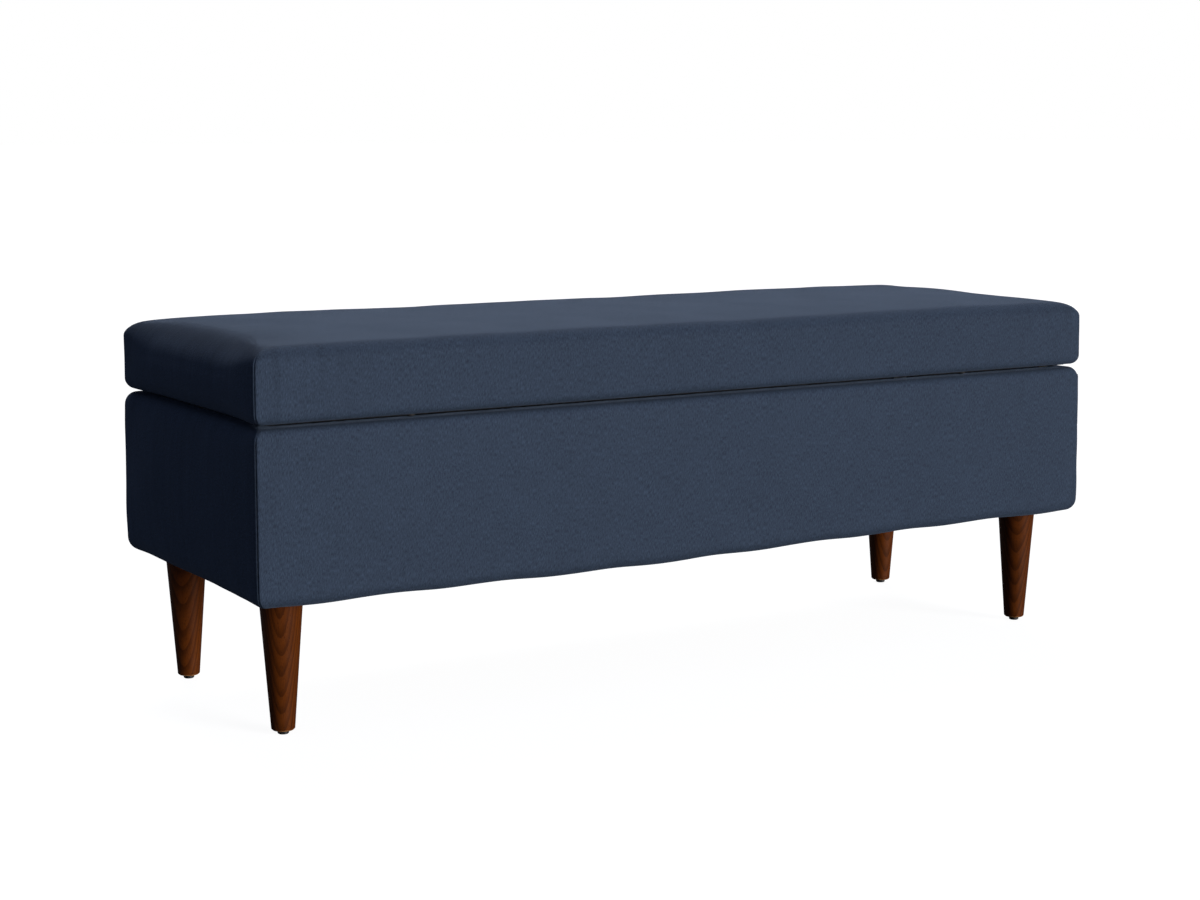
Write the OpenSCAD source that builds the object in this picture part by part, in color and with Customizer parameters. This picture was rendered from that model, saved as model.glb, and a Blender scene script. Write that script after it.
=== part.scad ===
// Storage bench: a padded box on four tapered legs, closed by a hinged, padded lid.
// Millimetres, with +Z up. X runs along the length and the front of the bench faces -Y.
// The origin is on the floor, under the middle of the bench.

/* [Overall] */
// Length over the covers
bench_w = 1245; // [1000:5:1500]
// Depth over the covers
bench_d = 432; // [360:2:520]
// Height to the crown of the closed lid
bench_h = 468; // [430:1:540]

/* [Legs] */
// Height of the wooden leg, without its glide
leg_h = 160; // [130:1:180]
// Diameter at the top of the leg
leg_top_d = 52; // [40:0.5:60]
// Diameter at the foot of the leg
leg_foot_d = 28; // [20:0.5:36]
// Leg centre to the end of the bench
leg_inset_x = 55; // [50:1:72]
// Leg centre to the front or back of the bench
leg_inset_y = 64; // [52:1:78]
// Chamfer round the foot of the leg
leg_chamfer = 1.6; // [0.5:0.1:3]
// Height of the glide under the leg
glide_h = 5; // [4:0.5:10]
// Diameter of the glide
glide_d = 13.5; // [10:0.5:20]

/* [Upholstery] */
// Thickness of the cover fabric
cover_t = 1.2; // [0.8:0.1:2]
// Padding over the front and back panels
pad_front_t = 10; // [8:0.5:16]
// Padding over the end panels
pad_end_t = 14; // [8:0.5:20]
// Width of cover turned in under the box and under the lid
flap_w = 25; // [22:1:40]
// Depth of cover turned down inside the rim
rim_flap_h = 25; // [15:1:40]
// Thickness of the storage lining
lining_t = 1; // [0.6:0.1:3]
// Lining's top edge to the rim
lining_drop = 12; // [6:1:20]
// Thickness of the cambric under the box and under the lid
cambric_t = 0.8; // [0.5:0.1:1.5]

/* [Box] */
// Thickness of the plywood panels
panel_t = 15; // [12:0.5:20]
// Thickness of the storage floor
floor_t = 6; // [4:0.5:12]
// Height of the corner blocks and the cleats
block_h = 28; // [22:1:40]
// Corner block, along the length
block_x = 64; // [56:1:90]
// Corner block, along the depth
block_y = 72; // [60:1:100]
// Width of the cleats
cleat_w = 20; // [12:1:30]
// Width of the rail under the middle of the floor
rail_w = 40; // [20:1:60]

/* [Lid] */
// Thickness of the closed lid at its crown
lid_t = 96; // [60:1:110]
// Gap between the lid and the rim
lid_gap = 3; // [2.8:0.1:5]
// Thickness of the lid board
lid_board_t = 12; // [9:0.5:18]
// Thickness of the wadding at the crown
wadding_t = 14; // [13:0.5:20]
// Rise of the crown from the front edge to the middle
crown_h = 8; // [4:1:13]
// Radius along the lid's top front and back edges
lid_edge_r = 16; // [14:1:30]
// Radius along the lid's top end edges
lid_end_r = 26; // [14:1:36]
// Diameter of a rim bumper
bumper_d = 10; // [6:0.5:13]
// Bumper centre to the middle of the bench
bumper_x = 420; // [200:10:460]

/* [Hinges] */
// How far the lid opens, in degrees
lid_open = 95; // [70:1:100]
// Length of a butt hinge
hinge_l = 60; // [40:1:90]
// Outer hinge centre to the end of the bench
hinge_inset = 190; // [120:5:320]
// Thickness of a hinge leaf
leaf_t = 1.2; // [0.8:0.1:1.3]
// Radius of the hinge knuckles
knuckle_r = 3.5; // [3:0.1:4]
// Radius of the hinge pin
pin_r = 1.5; // [1.2:0.1:1.8]

/* [Lid stays] */
// Thickness of the slotted arm
arm_t = 2; // [1.5:0.1:3]
// Width of the slotted arm
arm_w = 14; // [11:0.5:18]
// Radius of the stud in the slot
stud_r = 3; // [2:0.1:3.5]
// Thickness of the wall plate and the lid bracket
bracket_t = 1.8; // [1.2:0.1:2.5]
// Stand-off between the wall plate and the arm
stay_gap = 3; // [2:0.1:6]
// Radius of the rivet at the lid bracket
rivet_r = 2.5; // [2:0.1:3]

/* [Fasteners] */
// Radius of the small wood screws
screw_r = 1.6; // [1.2:0.1:1.8]
// Length of the small wood screws
screw_l = 13; // [9:0.5:13]
// Radius of the frame screws
frame_screw_r = 2; // [1.5:0.1:2.5]
// Length of the frame screws
frame_screw_l = 38; // [28:1:44]
// Radius of the hanger bolt
bolt_r = 4; // [3:0.5:5]
// Width of a staple crown
staple_w = 10; // [8:0.5:13]

/* [Hidden] */
$fn = 64;
fit = 0.05;        // radial room round a pin, a bolt or a screw
knuckle_room = 0.3;
hinge_n = 3;
knuckle_n = 5;
knuckle_gap = 0.3;
slot_room = 0.15;  // stud to each side of the slot
arm_room = 0.3;    // arm to the bracket and to the heads beside it
stay_floor_room = 7;
lid_pivot_deg = 8;    // the stay's lid pivot lies this far under the rim line, seen from the hinge
wall_stud_deg = 30;   // and the wall stud this far
eps = 0.5;            // how far a cutting tool runs past what it cuts

half_w = bench_w / 2;
half_d = bench_d / 2;

// Heights, from the floor up
under_z = glide_h + leg_h;
cover_z0 = under_z + cambric_t;
panel_z0 = cover_z0 + cover_t;
block_z1 = panel_z0 + block_h;
floor_z1 = block_z1 + floor_t;
rim_z = bench_h - lid_t - lid_gap;
panel_z1 = rim_z - cover_t;
lid_z0 = rim_z + lid_gap;
lid_cover_z0 = lid_z0 + cambric_t;
board_z0 = lid_cover_z0 + cover_t;
board_z1 = board_z0 + lid_board_t;
wadding_z0 = bench_h - cover_t - wadding_t;

// Half sizes of the wooden box and of the space inside it
box_x = half_w - cover_t - pad_end_t;
box_y = half_d - cover_t - pad_front_t;
cav_x = box_x - panel_t;
cav_y = box_y - panel_t;
rim_x = box_x - panel_t / 2;
rim_y = box_y - panel_t / 2;
lining_x = cav_x - cover_t;
lining_y = cav_y - cover_t;
leg_x = half_w - leg_inset_x;
leg_y = half_d - leg_inset_y;

// Covers: the edge radius is the padding and the cover together
edge_front = cover_t + pad_front_t;
edge_end = cover_t + pad_end_t;
crown_r = (half_d * half_d + crown_h * crown_h) / (2 * crown_h);
cambric_inset = 3;
cambric_x = half_w - edge_end - cambric_inset;
cambric_y = half_d - edge_front - cambric_inset;

// Hinge line
axis_y = half_d - knuckle_r;
axis_z = (rim_z + lid_z0) / 2;
leaf_margin = 5;
leaf_w = axis_y - rim_y + leaf_margin;
leaf_screw_pitch = hinge_l / 3;
hinge_x = [for (i = [0 : hinge_n - 1]) (i - (hinge_n - 1) / 2) * 2 * (half_w - hinge_inset) / (hinge_n - 1)];
pin_head_h = 0.8;
pin_head_r = pin_r + 1;

// Lid stay. The lid pivot and the wall stud are equally far from the hinge line, so the arm
// turns by exactly half the lid's angle while its slot slides along the stud.
arm_lean = (lid_pivot_deg + wall_stud_deg) / 2;
slot_end_wall = 5;
arm_end = stud_r + slot_room + slot_end_wall;
stud_span = 2 * sin((wall_stud_deg - lid_pivot_deg + lid_open) / 2);
stay_depth = axis_z - floor_z1 - lining_t - stay_floor_room;
stay_r = (stay_depth - arm_end * cos(arm_lean)) / (sin(lid_pivot_deg) + stud_span * cos(arm_lean));
stud_near = 2 * stay_r * sin((wall_stud_deg - lid_pivot_deg) / 2);
stud_far = stay_r * stud_span;
pivot_y = axis_y - stay_r * cos(lid_pivot_deg);
pivot_z = axis_z - stay_r * sin(lid_pivot_deg);
stud_y = axis_y - stay_r * cos(wall_stud_deg);
stud_z = axis_z - stay_r * sin(wall_stud_deg);
wall_x = lining_x - lining_t;
plate_x = wall_x - bracket_t;
arm_x1 = plate_x - stay_gap;
arm_x0 = arm_x1 - arm_t;
ear_x1 = arm_x0 - arm_room;
ear_x0 = ear_x1 - bracket_t;
ear_w = 16;
plate_w = 24;
plate_h = 44;
plate_screw_pitch = 30;
flange_w = 26;
flange_l = 44;
flange_screw_pitch = 28;
bracket_screw_edge = 8;
head_r = 5.5;
rivet_head_r = 4.5;
head_h = 1.6;

// Leg bolt and its nut
bolt_in_leg = 30;
wood_thread_r = bolt_r - 0.5;
bolt_hole_room = 2;  // past the bolt's end in the leg
bolt_below = 3;      // its other end, under the block's top
bolt_top_z = block_z1 - bolt_below;
nut_r = bolt_r + 0.9;
nut_flange_r = 10;
nut_flange_h = 1.5;
nut_h = 12;
nail_r = 1.25;
nail_l = 16;
nail_head_r = 3.2;
nail_head_h = 1;
nail_recess = 1.5;
nail_tip_room = 1;
glide_chamfer = 1;

// Frame screws: from the panel's ends, and from the faces of a corner block
frame_screw_edge = 30;
block_screw_x = 14;
block_screw_y = 12;
mitre_room = 5;    // how far the mitre cuts run past the covers

// Staples
staple_t = 0.5;
staple_leg = 6;
staple_pitch = 76;
staple_edge = 4;     // staple to the cambric's edge
staple_corner = 40;  // clear of staples at each corner
staples_long = floor(2 * (rim_x - staple_corner) / staple_pitch);
staples_short = floor(2 * (rim_y - staple_corner) / staple_pitch);

fabric_blue = [0.20, 0.25, 0.33];
walnut = [0.33, 0.17, 0.08];
plywood = [0.78, 0.64, 0.45];
pine = [0.83, 0.70, 0.48];
foam_cream = [0.90, 0.87, 0.76];
steel = [0.72, 0.72, 0.74];
cambric_black = [0.08, 0.08, 0.09];
lining_grey = [0.20, 0.20, 0.22];
glide_black = [0.04, 0.04, 0.04];

// ---------- Shared shapes ----------

// A box between two opposite corners.
module block(low, high) {
    translate(low) cube(high - low);
}

// Extrudes a YZ outline along X, centred.
module along_x(length) {
    rotate([90, 0, 90]) linear_extrude(length, center = true) children();
}

// Extrudes an XZ outline along Y, centred.
module along_y(length) {
    rotate([90, 0, 0]) linear_extrude(length, center = true) children();
}

// A cylinder whose base is at p and which runs along +X, or along -X where the height is negative.
module rod_x(p, r, h) {
    translate([min(p.x, p.x + h), p.y, p.z]) rotate([0, 90, 0]) cylinder(r = r, h = abs(h));
}

// An upright rectangle from -half to half with rounded lower and upper corners.
module rounded_outline(half, low, high, r_low, r_high) {
    translate([-half, low + r_low]) square([2 * half, high - low - r_low - r_high]);
    translate([-half + r_low, low]) square([2 * (half - r_low), high - low - r_high]);
    translate([-half + r_high, low + r_low]) square([2 * (half - r_high), high - low - r_low]);
    for (side = [-1, 1]) {
        translate([side * (half - r_low), low + r_low]) circle(r_low);
        translate([side * (half - r_high), high - r_high]) circle(r_high);
    }
}

// The padded box, taken in by inset on every face.
module base_form(inset) {
    intersection() {
        along_x(bench_w - 2 * inset)
            rounded_outline(half_d - inset, cover_z0 + inset, rim_z - inset,
                edge_front - inset, edge_front - inset);
        along_y(bench_d - 2 * inset)
            rounded_outline(half_w - inset, cover_z0 + inset, rim_z - inset,
                edge_end - inset, edge_end - inset);
    }
}

// The padded lid, taken in by inset on every face.
module lid_form(inset) {
    intersection() {
        along_x(bench_w - 2 * inset)
            intersection() {
                rounded_outline(half_d - inset, lid_cover_z0 + inset, bench_h - inset,
                    edge_front - inset, lid_edge_r - inset);
                translate([0, bench_h - crown_r]) circle(crown_r - inset, $fn = 256);
            }
        along_y(bench_d - 2 * inset)
            rounded_outline(half_w - inset, lid_cover_z0 + inset, bench_h - inset,
                edge_end - inset, lid_end_r - inset);
    }
}

// Room for the hinge knuckles where they press into the upholstery.
module knuckle_relief() {
    for (x = hinge_x)
        rod_x([x - hinge_l / 2 - pin_head_h - eps, axis_y, axis_z], knuckle_r + knuckle_room,
            hinge_l + 2 * (pin_head_h + eps));
}

// ---------- Wooden box ----------

// Each frame screw as [place of its head, turn that points a +Z screw along it].
frame_screw_places = concat(
    [for (sx = [-1, 1], sy = [-1, 1], k = [0 : 2])
        [[sx * rim_x, sy * box_y, block_z1 + frame_screw_edge
            + k * (panel_z1 - block_z1 - 2 * frame_screw_edge) / 2], [sy * 90, 0, 0]]],
    [for (sx = [-1, 1], sy = [-1, 1])
        [[sx * (cav_x - block_x + block_screw_x), sy * box_y, panel_z0 + block_h / 2], [sy * 90, 0, 0]]],
    [for (sx = [-1, 1], sy = [-1, 1])
        [[sx * box_x, sy * (cav_y - block_screw_y), panel_z0 + block_h / 2], [0, -sx * 90, 0]]]);

// A countersunk screw from its head at the origin down +Z; room widens it into its hole.
module wood_screw(r, length, room) {
    cylinder(r = r + room, h = length + room);
    cylinder(r1 = 2 * r + room, r2 = r + room, h = r);
}

module frame_screw_set(room) {
    for (place = frame_screw_places)
        translate(place[0]) rotate(place[1]) wood_screw(frame_screw_r, frame_screw_l, room);
}

module long_panel(side) {
    color(plywood) difference() {
        block([-box_x, side > 0 ? cav_y : -box_y, panel_z0], [box_x, side > 0 ? box_y : -cav_y, panel_z1]);
        frame_screw_set(fit);
        if (side > 0) hinge_screw_set(-1, fit);
    }
}

module end_panel(side) {
    color(plywood) difference() {
        block([side > 0 ? cav_x : -box_x, -cav_y, panel_z0], [side > 0 ? box_x : -cav_x, cav_y, panel_z1]);
        frame_screw_set(fit);
        plate_screw_set(fit);
    }
}

module floor_panel() {
    color(plywood) block([-cav_x, -cav_y, block_z1], [cav_x, cav_y, floor_z1]);
}

module long_cleat(side) {
    color(pine) block([block_x - cav_x, side > 0 ? cav_y - cleat_w : -cav_y, panel_z0],
        [cav_x - block_x, side > 0 ? cav_y : cleat_w - cav_y, block_z1]);
}

module end_cleat(side) {
    color(pine) block([side > 0 ? cav_x - cleat_w : -cav_x, block_y - cav_y, panel_z0],
        [side > 0 ? cav_x : cleat_w - cav_x, cav_y - block_y, block_z1]);
}

module centre_rail() {
    color(pine) block([-rail_w / 2, cleat_w - cav_y, panel_z0], [rail_w / 2, cav_y - cleat_w, block_z1]);
}

module corner_block(sx, sy) {
    color(pine) difference() {
        translate([sx * (cav_x - block_x / 2), sy * (cav_y - block_y / 2), panel_z0 + block_h / 2])
            cube([block_x, block_y, block_h], center = true);
        translate([sx * leg_x, sy * leg_y, panel_z0 - eps]) cylinder(r = nut_r + fit, h = block_h + 2 * eps);
        translate([sx * leg_x, sy * leg_y, block_z1 - nut_flange_h - fit])
            cylinder(r = nut_flange_r + fit, h = nut_flange_h + eps);
        frame_screw_set(fit);
    }
}

module frame_screws() {
    color(steel) frame_screw_set(0);
}

// ---------- Box upholstery ----------

module long_padding(side) {
    color(foam_cream) difference() {
        intersection() {
            base_form(cover_t);
            block([-half_w, side > 0 ? box_y : -half_d, 0], [half_w, side > 0 ? half_d : -box_y, rim_z]);
        }
        if (side > 0) knuckle_relief();
    }
}

module end_padding(side) {
    color(foam_cream) intersection() {
        base_form(cover_t);
        block([side > 0 ? box_x : -half_w, -box_y, 0], [side > 0 ? half_w : -box_x, box_y, rim_z]);
    }
}

// The sewn cover of the box: over the rim and down inside it, and in under the box.
module box_cover() {
    difference() {
        union() {
            difference() {
                base_form(0);
                base_form(cover_t);
            }
            block([-cav_x, -cav_y, rim_z - rim_flap_h], [cav_x, cav_y, rim_z - cover_t / 2]);
        }
        block([-lining_x, -lining_y, rim_z - rim_flap_h - eps], [lining_x, lining_y, rim_z + eps]);
        block([flap_w - half_w, flap_w - half_d, 0], [half_w - flap_w, half_d - flap_w, panel_z0 + eps]);
    }
}

// The corner seams lie on the mitre lines, at 45 degrees from the corners of the bench.
module long_cover(side) {
    out = half_d + mitre_room;
    color(fabric_blue) difference() {
        intersection() {
            box_cover();
            linear_extrude(bench_h)
                polygon([[-half_w - mitre_room, side * out], [half_w + mitre_room, side * out],
                    [half_w - half_d, 0], [half_d - half_w, 0]]);
        }
        if (side > 0) {
            knuckle_relief();
            hinge_screw_set(-1, fit);
        }
    }
}

module end_cover(side) {
    out = half_w + mitre_room;
    color(fabric_blue) difference() {
        intersection() {
            box_cover();
            linear_extrude(bench_h)
                polygon([[side * out, -half_d - mitre_room], [side * out, half_d + mitre_room],
                    [side * (half_w - half_d), 0]]);
        }
        plate_screw_set(fit);
    }
}

module storage_lining() {
    color(lining_grey) difference() {
        block([-lining_x, -lining_y, floor_z1], [lining_x, lining_y, rim_z - lining_drop]);
        block([lining_t - lining_x, lining_t - lining_y, floor_z1 + lining_t],
            [lining_x - lining_t, lining_y - lining_t, rim_z]);
        plate_screw_set(fit);
    }
}

module dust_cover() {
    color(cambric_black) difference() {
        block([-cambric_x, -cambric_y, under_z], [cambric_x, cambric_y, cover_z0]);
        for (sx = [-1, 1], sy = [-1, 1])
            translate([sx * leg_x, sy * leg_y, under_z - eps])
                cylinder(r = nut_r + fit, h = cambric_t + 2 * eps);
    }
}

// One staple, its crown along X under the cambric and its legs up into the wood.
module staple() {
    translate([-staple_w / 2, -staple_t, -staple_t]) cube([staple_w, 2 * staple_t, staple_t]);
    for (side = [-1, 1])
        translate([side * (staple_w / 2 - staple_t / 2) - staple_t / 2, -staple_t, -staple_t])
            cube([staple_t, 2 * staple_t, staple_leg + staple_t]);
}

module dust_cover_staples() {
    color(steel) {
        for (side = [-1, 1], k = [0 : staples_long])
            translate([(k - staples_long / 2) * staple_pitch, side * (cambric_y - staple_edge), under_z])
                staple();
        for (side = [-1, 1], k = [0 : staples_short])
            translate([side * (cambric_x - staple_edge), (k - staples_short / 2) * staple_pitch, under_z])
                rotate(90) staple();
    }
}

// ---------- Legs ----------

module leg(sx, sy) {
    color(walnut) translate([sx * leg_x, sy * leg_y, glide_h]) difference() {
        rotate_extrude() polygon([[0, 0], [leg_foot_d / 2 - leg_chamfer, 0], [leg_foot_d / 2, leg_chamfer],
            [leg_top_d / 2, leg_h], [0, leg_h]]);
        translate([0, 0, leg_h - bolt_in_leg - bolt_hole_room])
            cylinder(r = wood_thread_r + fit, h = bolt_in_leg + bolt_hole_room + eps);
        translate([0, 0, -eps]) cylinder(r = nail_r + fit, h = nail_l + eps);
    }
}

// Places its children under, or at, each leg's centre.
module at_each_leg(z) {
    for (sx = [-1, 1], sy = [-1, 1]) translate([sx * leg_x, sy * leg_y, z]) children();
}

module glides() {
    color(glide_black) at_each_leg(0) difference() {
        rotate_extrude() polygon([[0, 0], [glide_d / 2 - glide_chamfer, 0], [glide_d / 2, glide_chamfer],
            [glide_d / 2, glide_h], [0, glide_h]]);
        translate([0, 0, -eps]) cylinder(r = nail_head_r + fit, h = nail_recess + nail_head_h + eps);
        translate([0, 0, -eps]) cylinder(r = nail_r + fit, h = glide_h + 2 * eps);
    }
}

module glide_nails() {
    color(steel) at_each_leg(nail_recess) {
        cylinder(r = nail_head_r, h = nail_head_h);
        cylinder(r = nail_r, h = glide_h - nail_recess + nail_l - nail_tip_room);
    }
}

module hanger_bolts() {
    color(steel) at_each_leg(under_z - bolt_in_leg) {
        cylinder(r = wood_thread_r, h = bolt_in_leg + eps);
        translate([0, 0, bolt_in_leg]) cylinder(r = bolt_r, h = bolt_top_z - under_z);
    }
}

module t_nuts() {
    color(steel) at_each_leg(block_z1) difference() {
        union() {
            translate([0, 0, -nut_flange_h]) cylinder(r = nut_flange_r, h = nut_flange_h - fit);
            translate([0, 0, -nut_h]) cylinder(r = nut_r, h = nut_h - fit);
        }
        translate([0, 0, -nut_h - eps]) cylinder(r = bolt_r + fit, h = nut_h + 2 * eps);
    }
}

// ---------- Hinges ----------

// Hinge screws of the box (way -1, driven down) or of the lid (way 1, driven up).
module hinge_screw_set(way, room) {
    for (x = hinge_x, k = [-1 : 1])
        translate([x + k * leaf_screw_pitch, rim_y, way < 0 ? rim_z + leaf_t : lid_z0 - leaf_t])
            mirror([0, 0, way < 0 ? 1 : 0]) wood_screw(screw_r, screw_l, room);
}

// One leaf. way is -1 for the box and 1 for the lid; first is its first knuckle.
module hinge_leaf(x, way, first) {
    pitch = hinge_l / knuckle_n;
    color(steel) difference() {
        translate([x - hinge_l / 2, axis_y, axis_z]) difference() {
            union() {
                translate([0, -leaf_w, way < 0 ? rim_z - axis_z : lid_z0 - axis_z - leaf_t])
                    cube([hinge_l, leaf_w, leaf_t]);
                for (k = [first : 2 : knuckle_n - 1])
                    rod_x([k * pitch + knuckle_gap / 2, 0, 0], knuckle_r, pitch - knuckle_gap);
            }
            for (k = [1 - first : 2 : knuckle_n - 1])
                block([k * pitch - knuckle_gap / 2, -knuckle_r - knuckle_room, -knuckle_r - eps],
                    [(k + 1) * pitch + knuckle_gap / 2, knuckle_r + eps, knuckle_r + eps]);
            rod_x([-eps, 0, 0], pin_r + fit, hinge_l + 2 * eps);
        }
        hinge_screw_set(way, fit);
    }
}

module hinge_pins() {
    color(steel) for (x = hinge_x) {
        rod_x([x - hinge_l / 2 - eps, axis_y, axis_z], pin_r, hinge_l + 2 * eps);
        for (side = [-1, 1])
            rod_x([x + side * hinge_l / 2, axis_y, axis_z], pin_head_r, side * pin_head_h);
    }
}

module base_hinge_screws() {
    color(steel) hinge_screw_set(-1, 0);
}

module lid_hinge_screws() {
    color(steel) hinge_screw_set(1, 0);
}

// ---------- Lid ----------

module lid_board() {
    color(plywood) difference() {
        block([-box_x, -box_y, board_z0], [box_x, box_y, board_z1]);
        hinge_screw_set(1, fit);
        bracket_screw_set(fit);
    }
}

module lid_foam() {
    color(foam_cream) difference() {
        lid_form(cover_t);
        block([-box_x, -box_y, 0], [box_x, box_y, board_z1]);
        block([-half_w, -half_d, wadding_z0], [half_w, half_d, bench_h + eps]);
        hinge_screw_set(1, fit);
        bracket_screw_set(fit);
        knuckle_relief();
    }
}

module lid_wadding() {
    color("white") intersection() {
        lid_form(cover_t);
        block([-half_w, -half_d, wadding_z0], [half_w, half_d, bench_h]);
    }
}

module lid_cover() {
    color(fabric_blue) difference() {
        lid_form(0);
        lid_form(cover_t);
        block([flap_w - half_w, flap_w - half_d, lid_z0],
              [half_w - flap_w, half_d - flap_w, board_z0 + cover_t]);
        hinge_screw_set(1, fit);
        knuckle_relief();
    }
}

module lid_lining() {
    color(cambric_black) difference() {
        block([-cambric_x, -cambric_y, lid_z0], [cambric_x, cambric_y, lid_cover_z0]);
        hinge_screw_set(1, fit);
        bracket_screw_set(fit);
    }
}

module lid_bumpers() {
    color(glide_black) {
        for (side = [-1, 1])
            translate([side * bumper_x, -rim_y, rim_z + fit]) cylinder(d = bumper_d, h = lid_gap - fit);
        for (side = [-1, 1])
            translate([side * rim_x, 0, rim_z + fit]) cylinder(d = bumper_d, h = lid_gap - fit);
    }
}

// ---------- Lid stays ----------

// Draws its children at the right end, or mirrored at the left one.
module at_end(side) {
    mirror([side < 0 ? 1 : 0, 0, 0]) children();
}

module plate_screw_set(room) {
    for (side = [-1, 1], k = [-1, 1])
        at_end(side) translate([plate_x, stud_y, stud_z + k * plate_screw_pitch / 2])
            rotate([0, 90, 0]) wood_screw(screw_r, screw_l, room);
}

module bracket_screw_set(room) {
    for (side = [-1, 1], k = [-1, 1])
        at_end(side)
            translate([ear_x1 - flange_w + bracket_screw_edge,
                       pivot_y + k * flange_screw_pitch / 2, lid_z0 - bracket_t])
                wood_screw(screw_r, screw_l, room);
}

// A flat bar with round ends, from the origin along +X.
module bar_outline(length, width) {
    circle(d = width);
    translate([length, 0]) circle(d = width);
    translate([0, -width / 2]) square([length, width]);
}

module stay_plate(side) {
    color(steel) difference() {
        at_end(side) block([plate_x, stud_y - plate_w / 2, stud_z - plate_h / 2],
            [wall_x, stud_y + plate_w / 2, stud_z + plate_h / 2]);
        plate_screw_set(fit);
    }
}

module stay_studs() {
    color(steel) for (side = [-1, 1]) at_end(side) {
        rod_x([plate_x, stud_y, stud_z], head_r, arm_room / 2 - stay_gap);
        rod_x([plate_x, stud_y, stud_z], stud_r, -stay_gap - arm_t - arm_room);
        rod_x([arm_x0 - arm_room / 2, stud_y, stud_z], head_r, -head_h);
    }
}

module stay_plate_screws() {
    color(steel) plate_screw_set(0);
}

// A flange under the lid, and an ear that hangs beside the arm.
module stay_bracket(side) {
    color(steel) difference() {
        at_end(side) {
            block([ear_x1 - flange_w, pivot_y - flange_l / 2, lid_z0 - bracket_t],
                [ear_x1, pivot_y + flange_l / 2, lid_z0]);
            translate([(ear_x0 + ear_x1) / 2, pivot_y, pivot_z]) along_x(bracket_t) {
                circle(d = ear_w);
                translate([-ear_w / 2, 0]) square([ear_w, lid_z0 - bracket_t / 2 - pivot_z]);
            }
        }
        at_end(side) rod_x([ear_x0 - eps, pivot_y, pivot_z], rivet_r + fit, bracket_t + 2 * eps);
        bracket_screw_set(fit);
    }
}

module stay_rivets() {
    color(steel) for (side = [-1, 1]) at_end(side) {
        rod_x([ear_x0 - fit - head_h, pivot_y, pivot_z], rivet_head_r, head_h);
        rod_x([ear_x0 - fit - eps, pivot_y, pivot_z], rivet_r,
              bracket_t + arm_room + arm_t + 2 * fit + 2 * eps);
        rod_x([arm_x1 + arm_room / 2, pivot_y, pivot_z], rivet_head_r, head_h);
    }
}

module stay_bracket_screws() {
    color(steel) bracket_screw_set(0);
}

module stay_arm(side) {
    color(steel) at_end(side) translate([(arm_x0 + arm_x1) / 2, pivot_y, pivot_z]) along_x(arm_t)
        rotate(arm_lean - 90) difference() {
            bar_outline(stud_far + arm_end - arm_w / 2, arm_w);
            circle(rivet_r + fit);
            translate([stud_near, 0]) bar_outline(stud_far - stud_near, 2 * (stud_r + slot_room));
        }
}

// ---------- Assembly ----------

long_panel(-1);  // front_panel
long_panel(1);  // back_panel
end_panel(-1);  // left_panel
end_panel(1);  // right_panel
floor_panel();
long_cleat(-1);  // front_cleat
long_cleat(1);  // back_cleat
end_cleat(-1);  // left_cleat
end_cleat(1);  // right_cleat
centre_rail();
corner_block(-1, -1);  // corner_block_front_left
corner_block(1, -1);  // corner_block_front_right
corner_block(-1, 1);  // corner_block_back_left
corner_block(1, 1);  // corner_block_back_right
long_padding(-1);  // front_padding
long_padding(1);  // back_padding
end_padding(-1);  // left_padding
end_padding(1);  // right_padding
long_cover(-1);  // cover_front
long_cover(1);  // cover_back
end_cover(-1);  // cover_left
end_cover(1);  // cover_right
storage_lining();
dust_cover();
leg(-1, -1);  // leg_front_left
leg(1, -1);  // leg_front_right
leg(-1, 1);  // leg_back_left
leg(1, 1);  // leg_back_right
glides();
glide_nails();
hanger_bolts();
t_nuts();
hinge_leaf(hinge_x[0], -1, 0);  // hinge_base_leaf_left
hinge_leaf(hinge_x[1], -1, 0);  // hinge_base_leaf_centre
hinge_leaf(hinge_x[2], -1, 0);  // hinge_base_leaf_right
hinge_pins();
stay_plate(-1);  // stay_plate_left
stay_plate(1);  // stay_plate_right
stay_studs();
frame_screws();
base_hinge_screws();
stay_plate_screws();
dust_cover_staples();
lid_board();
lid_foam();
lid_wadding();
lid_cover();
lid_lining();
hinge_leaf(hinge_x[0], 1, 1);  // hinge_lid_leaf_left
hinge_leaf(hinge_x[1], 1, 1);  // hinge_lid_leaf_centre
hinge_leaf(hinge_x[2], 1, 1);  // hinge_lid_leaf_right
stay_bracket(-1);  // stay_bracket_left
stay_bracket(1);  // stay_bracket_right
stay_rivets();
lid_hinge_screws();
stay_bracket_screws();
lid_bumpers();
stay_arm(-1);  // stay_arm_left
stay_arm(1);  // stay_arm_right
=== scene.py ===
"""Ottoman with storage: its sewn covers, linings, timber, walnut legs and metal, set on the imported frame."""
import logging
import math
from dataclasses import dataclass, replace
from enum import Enum
from typing import Iterator

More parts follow.
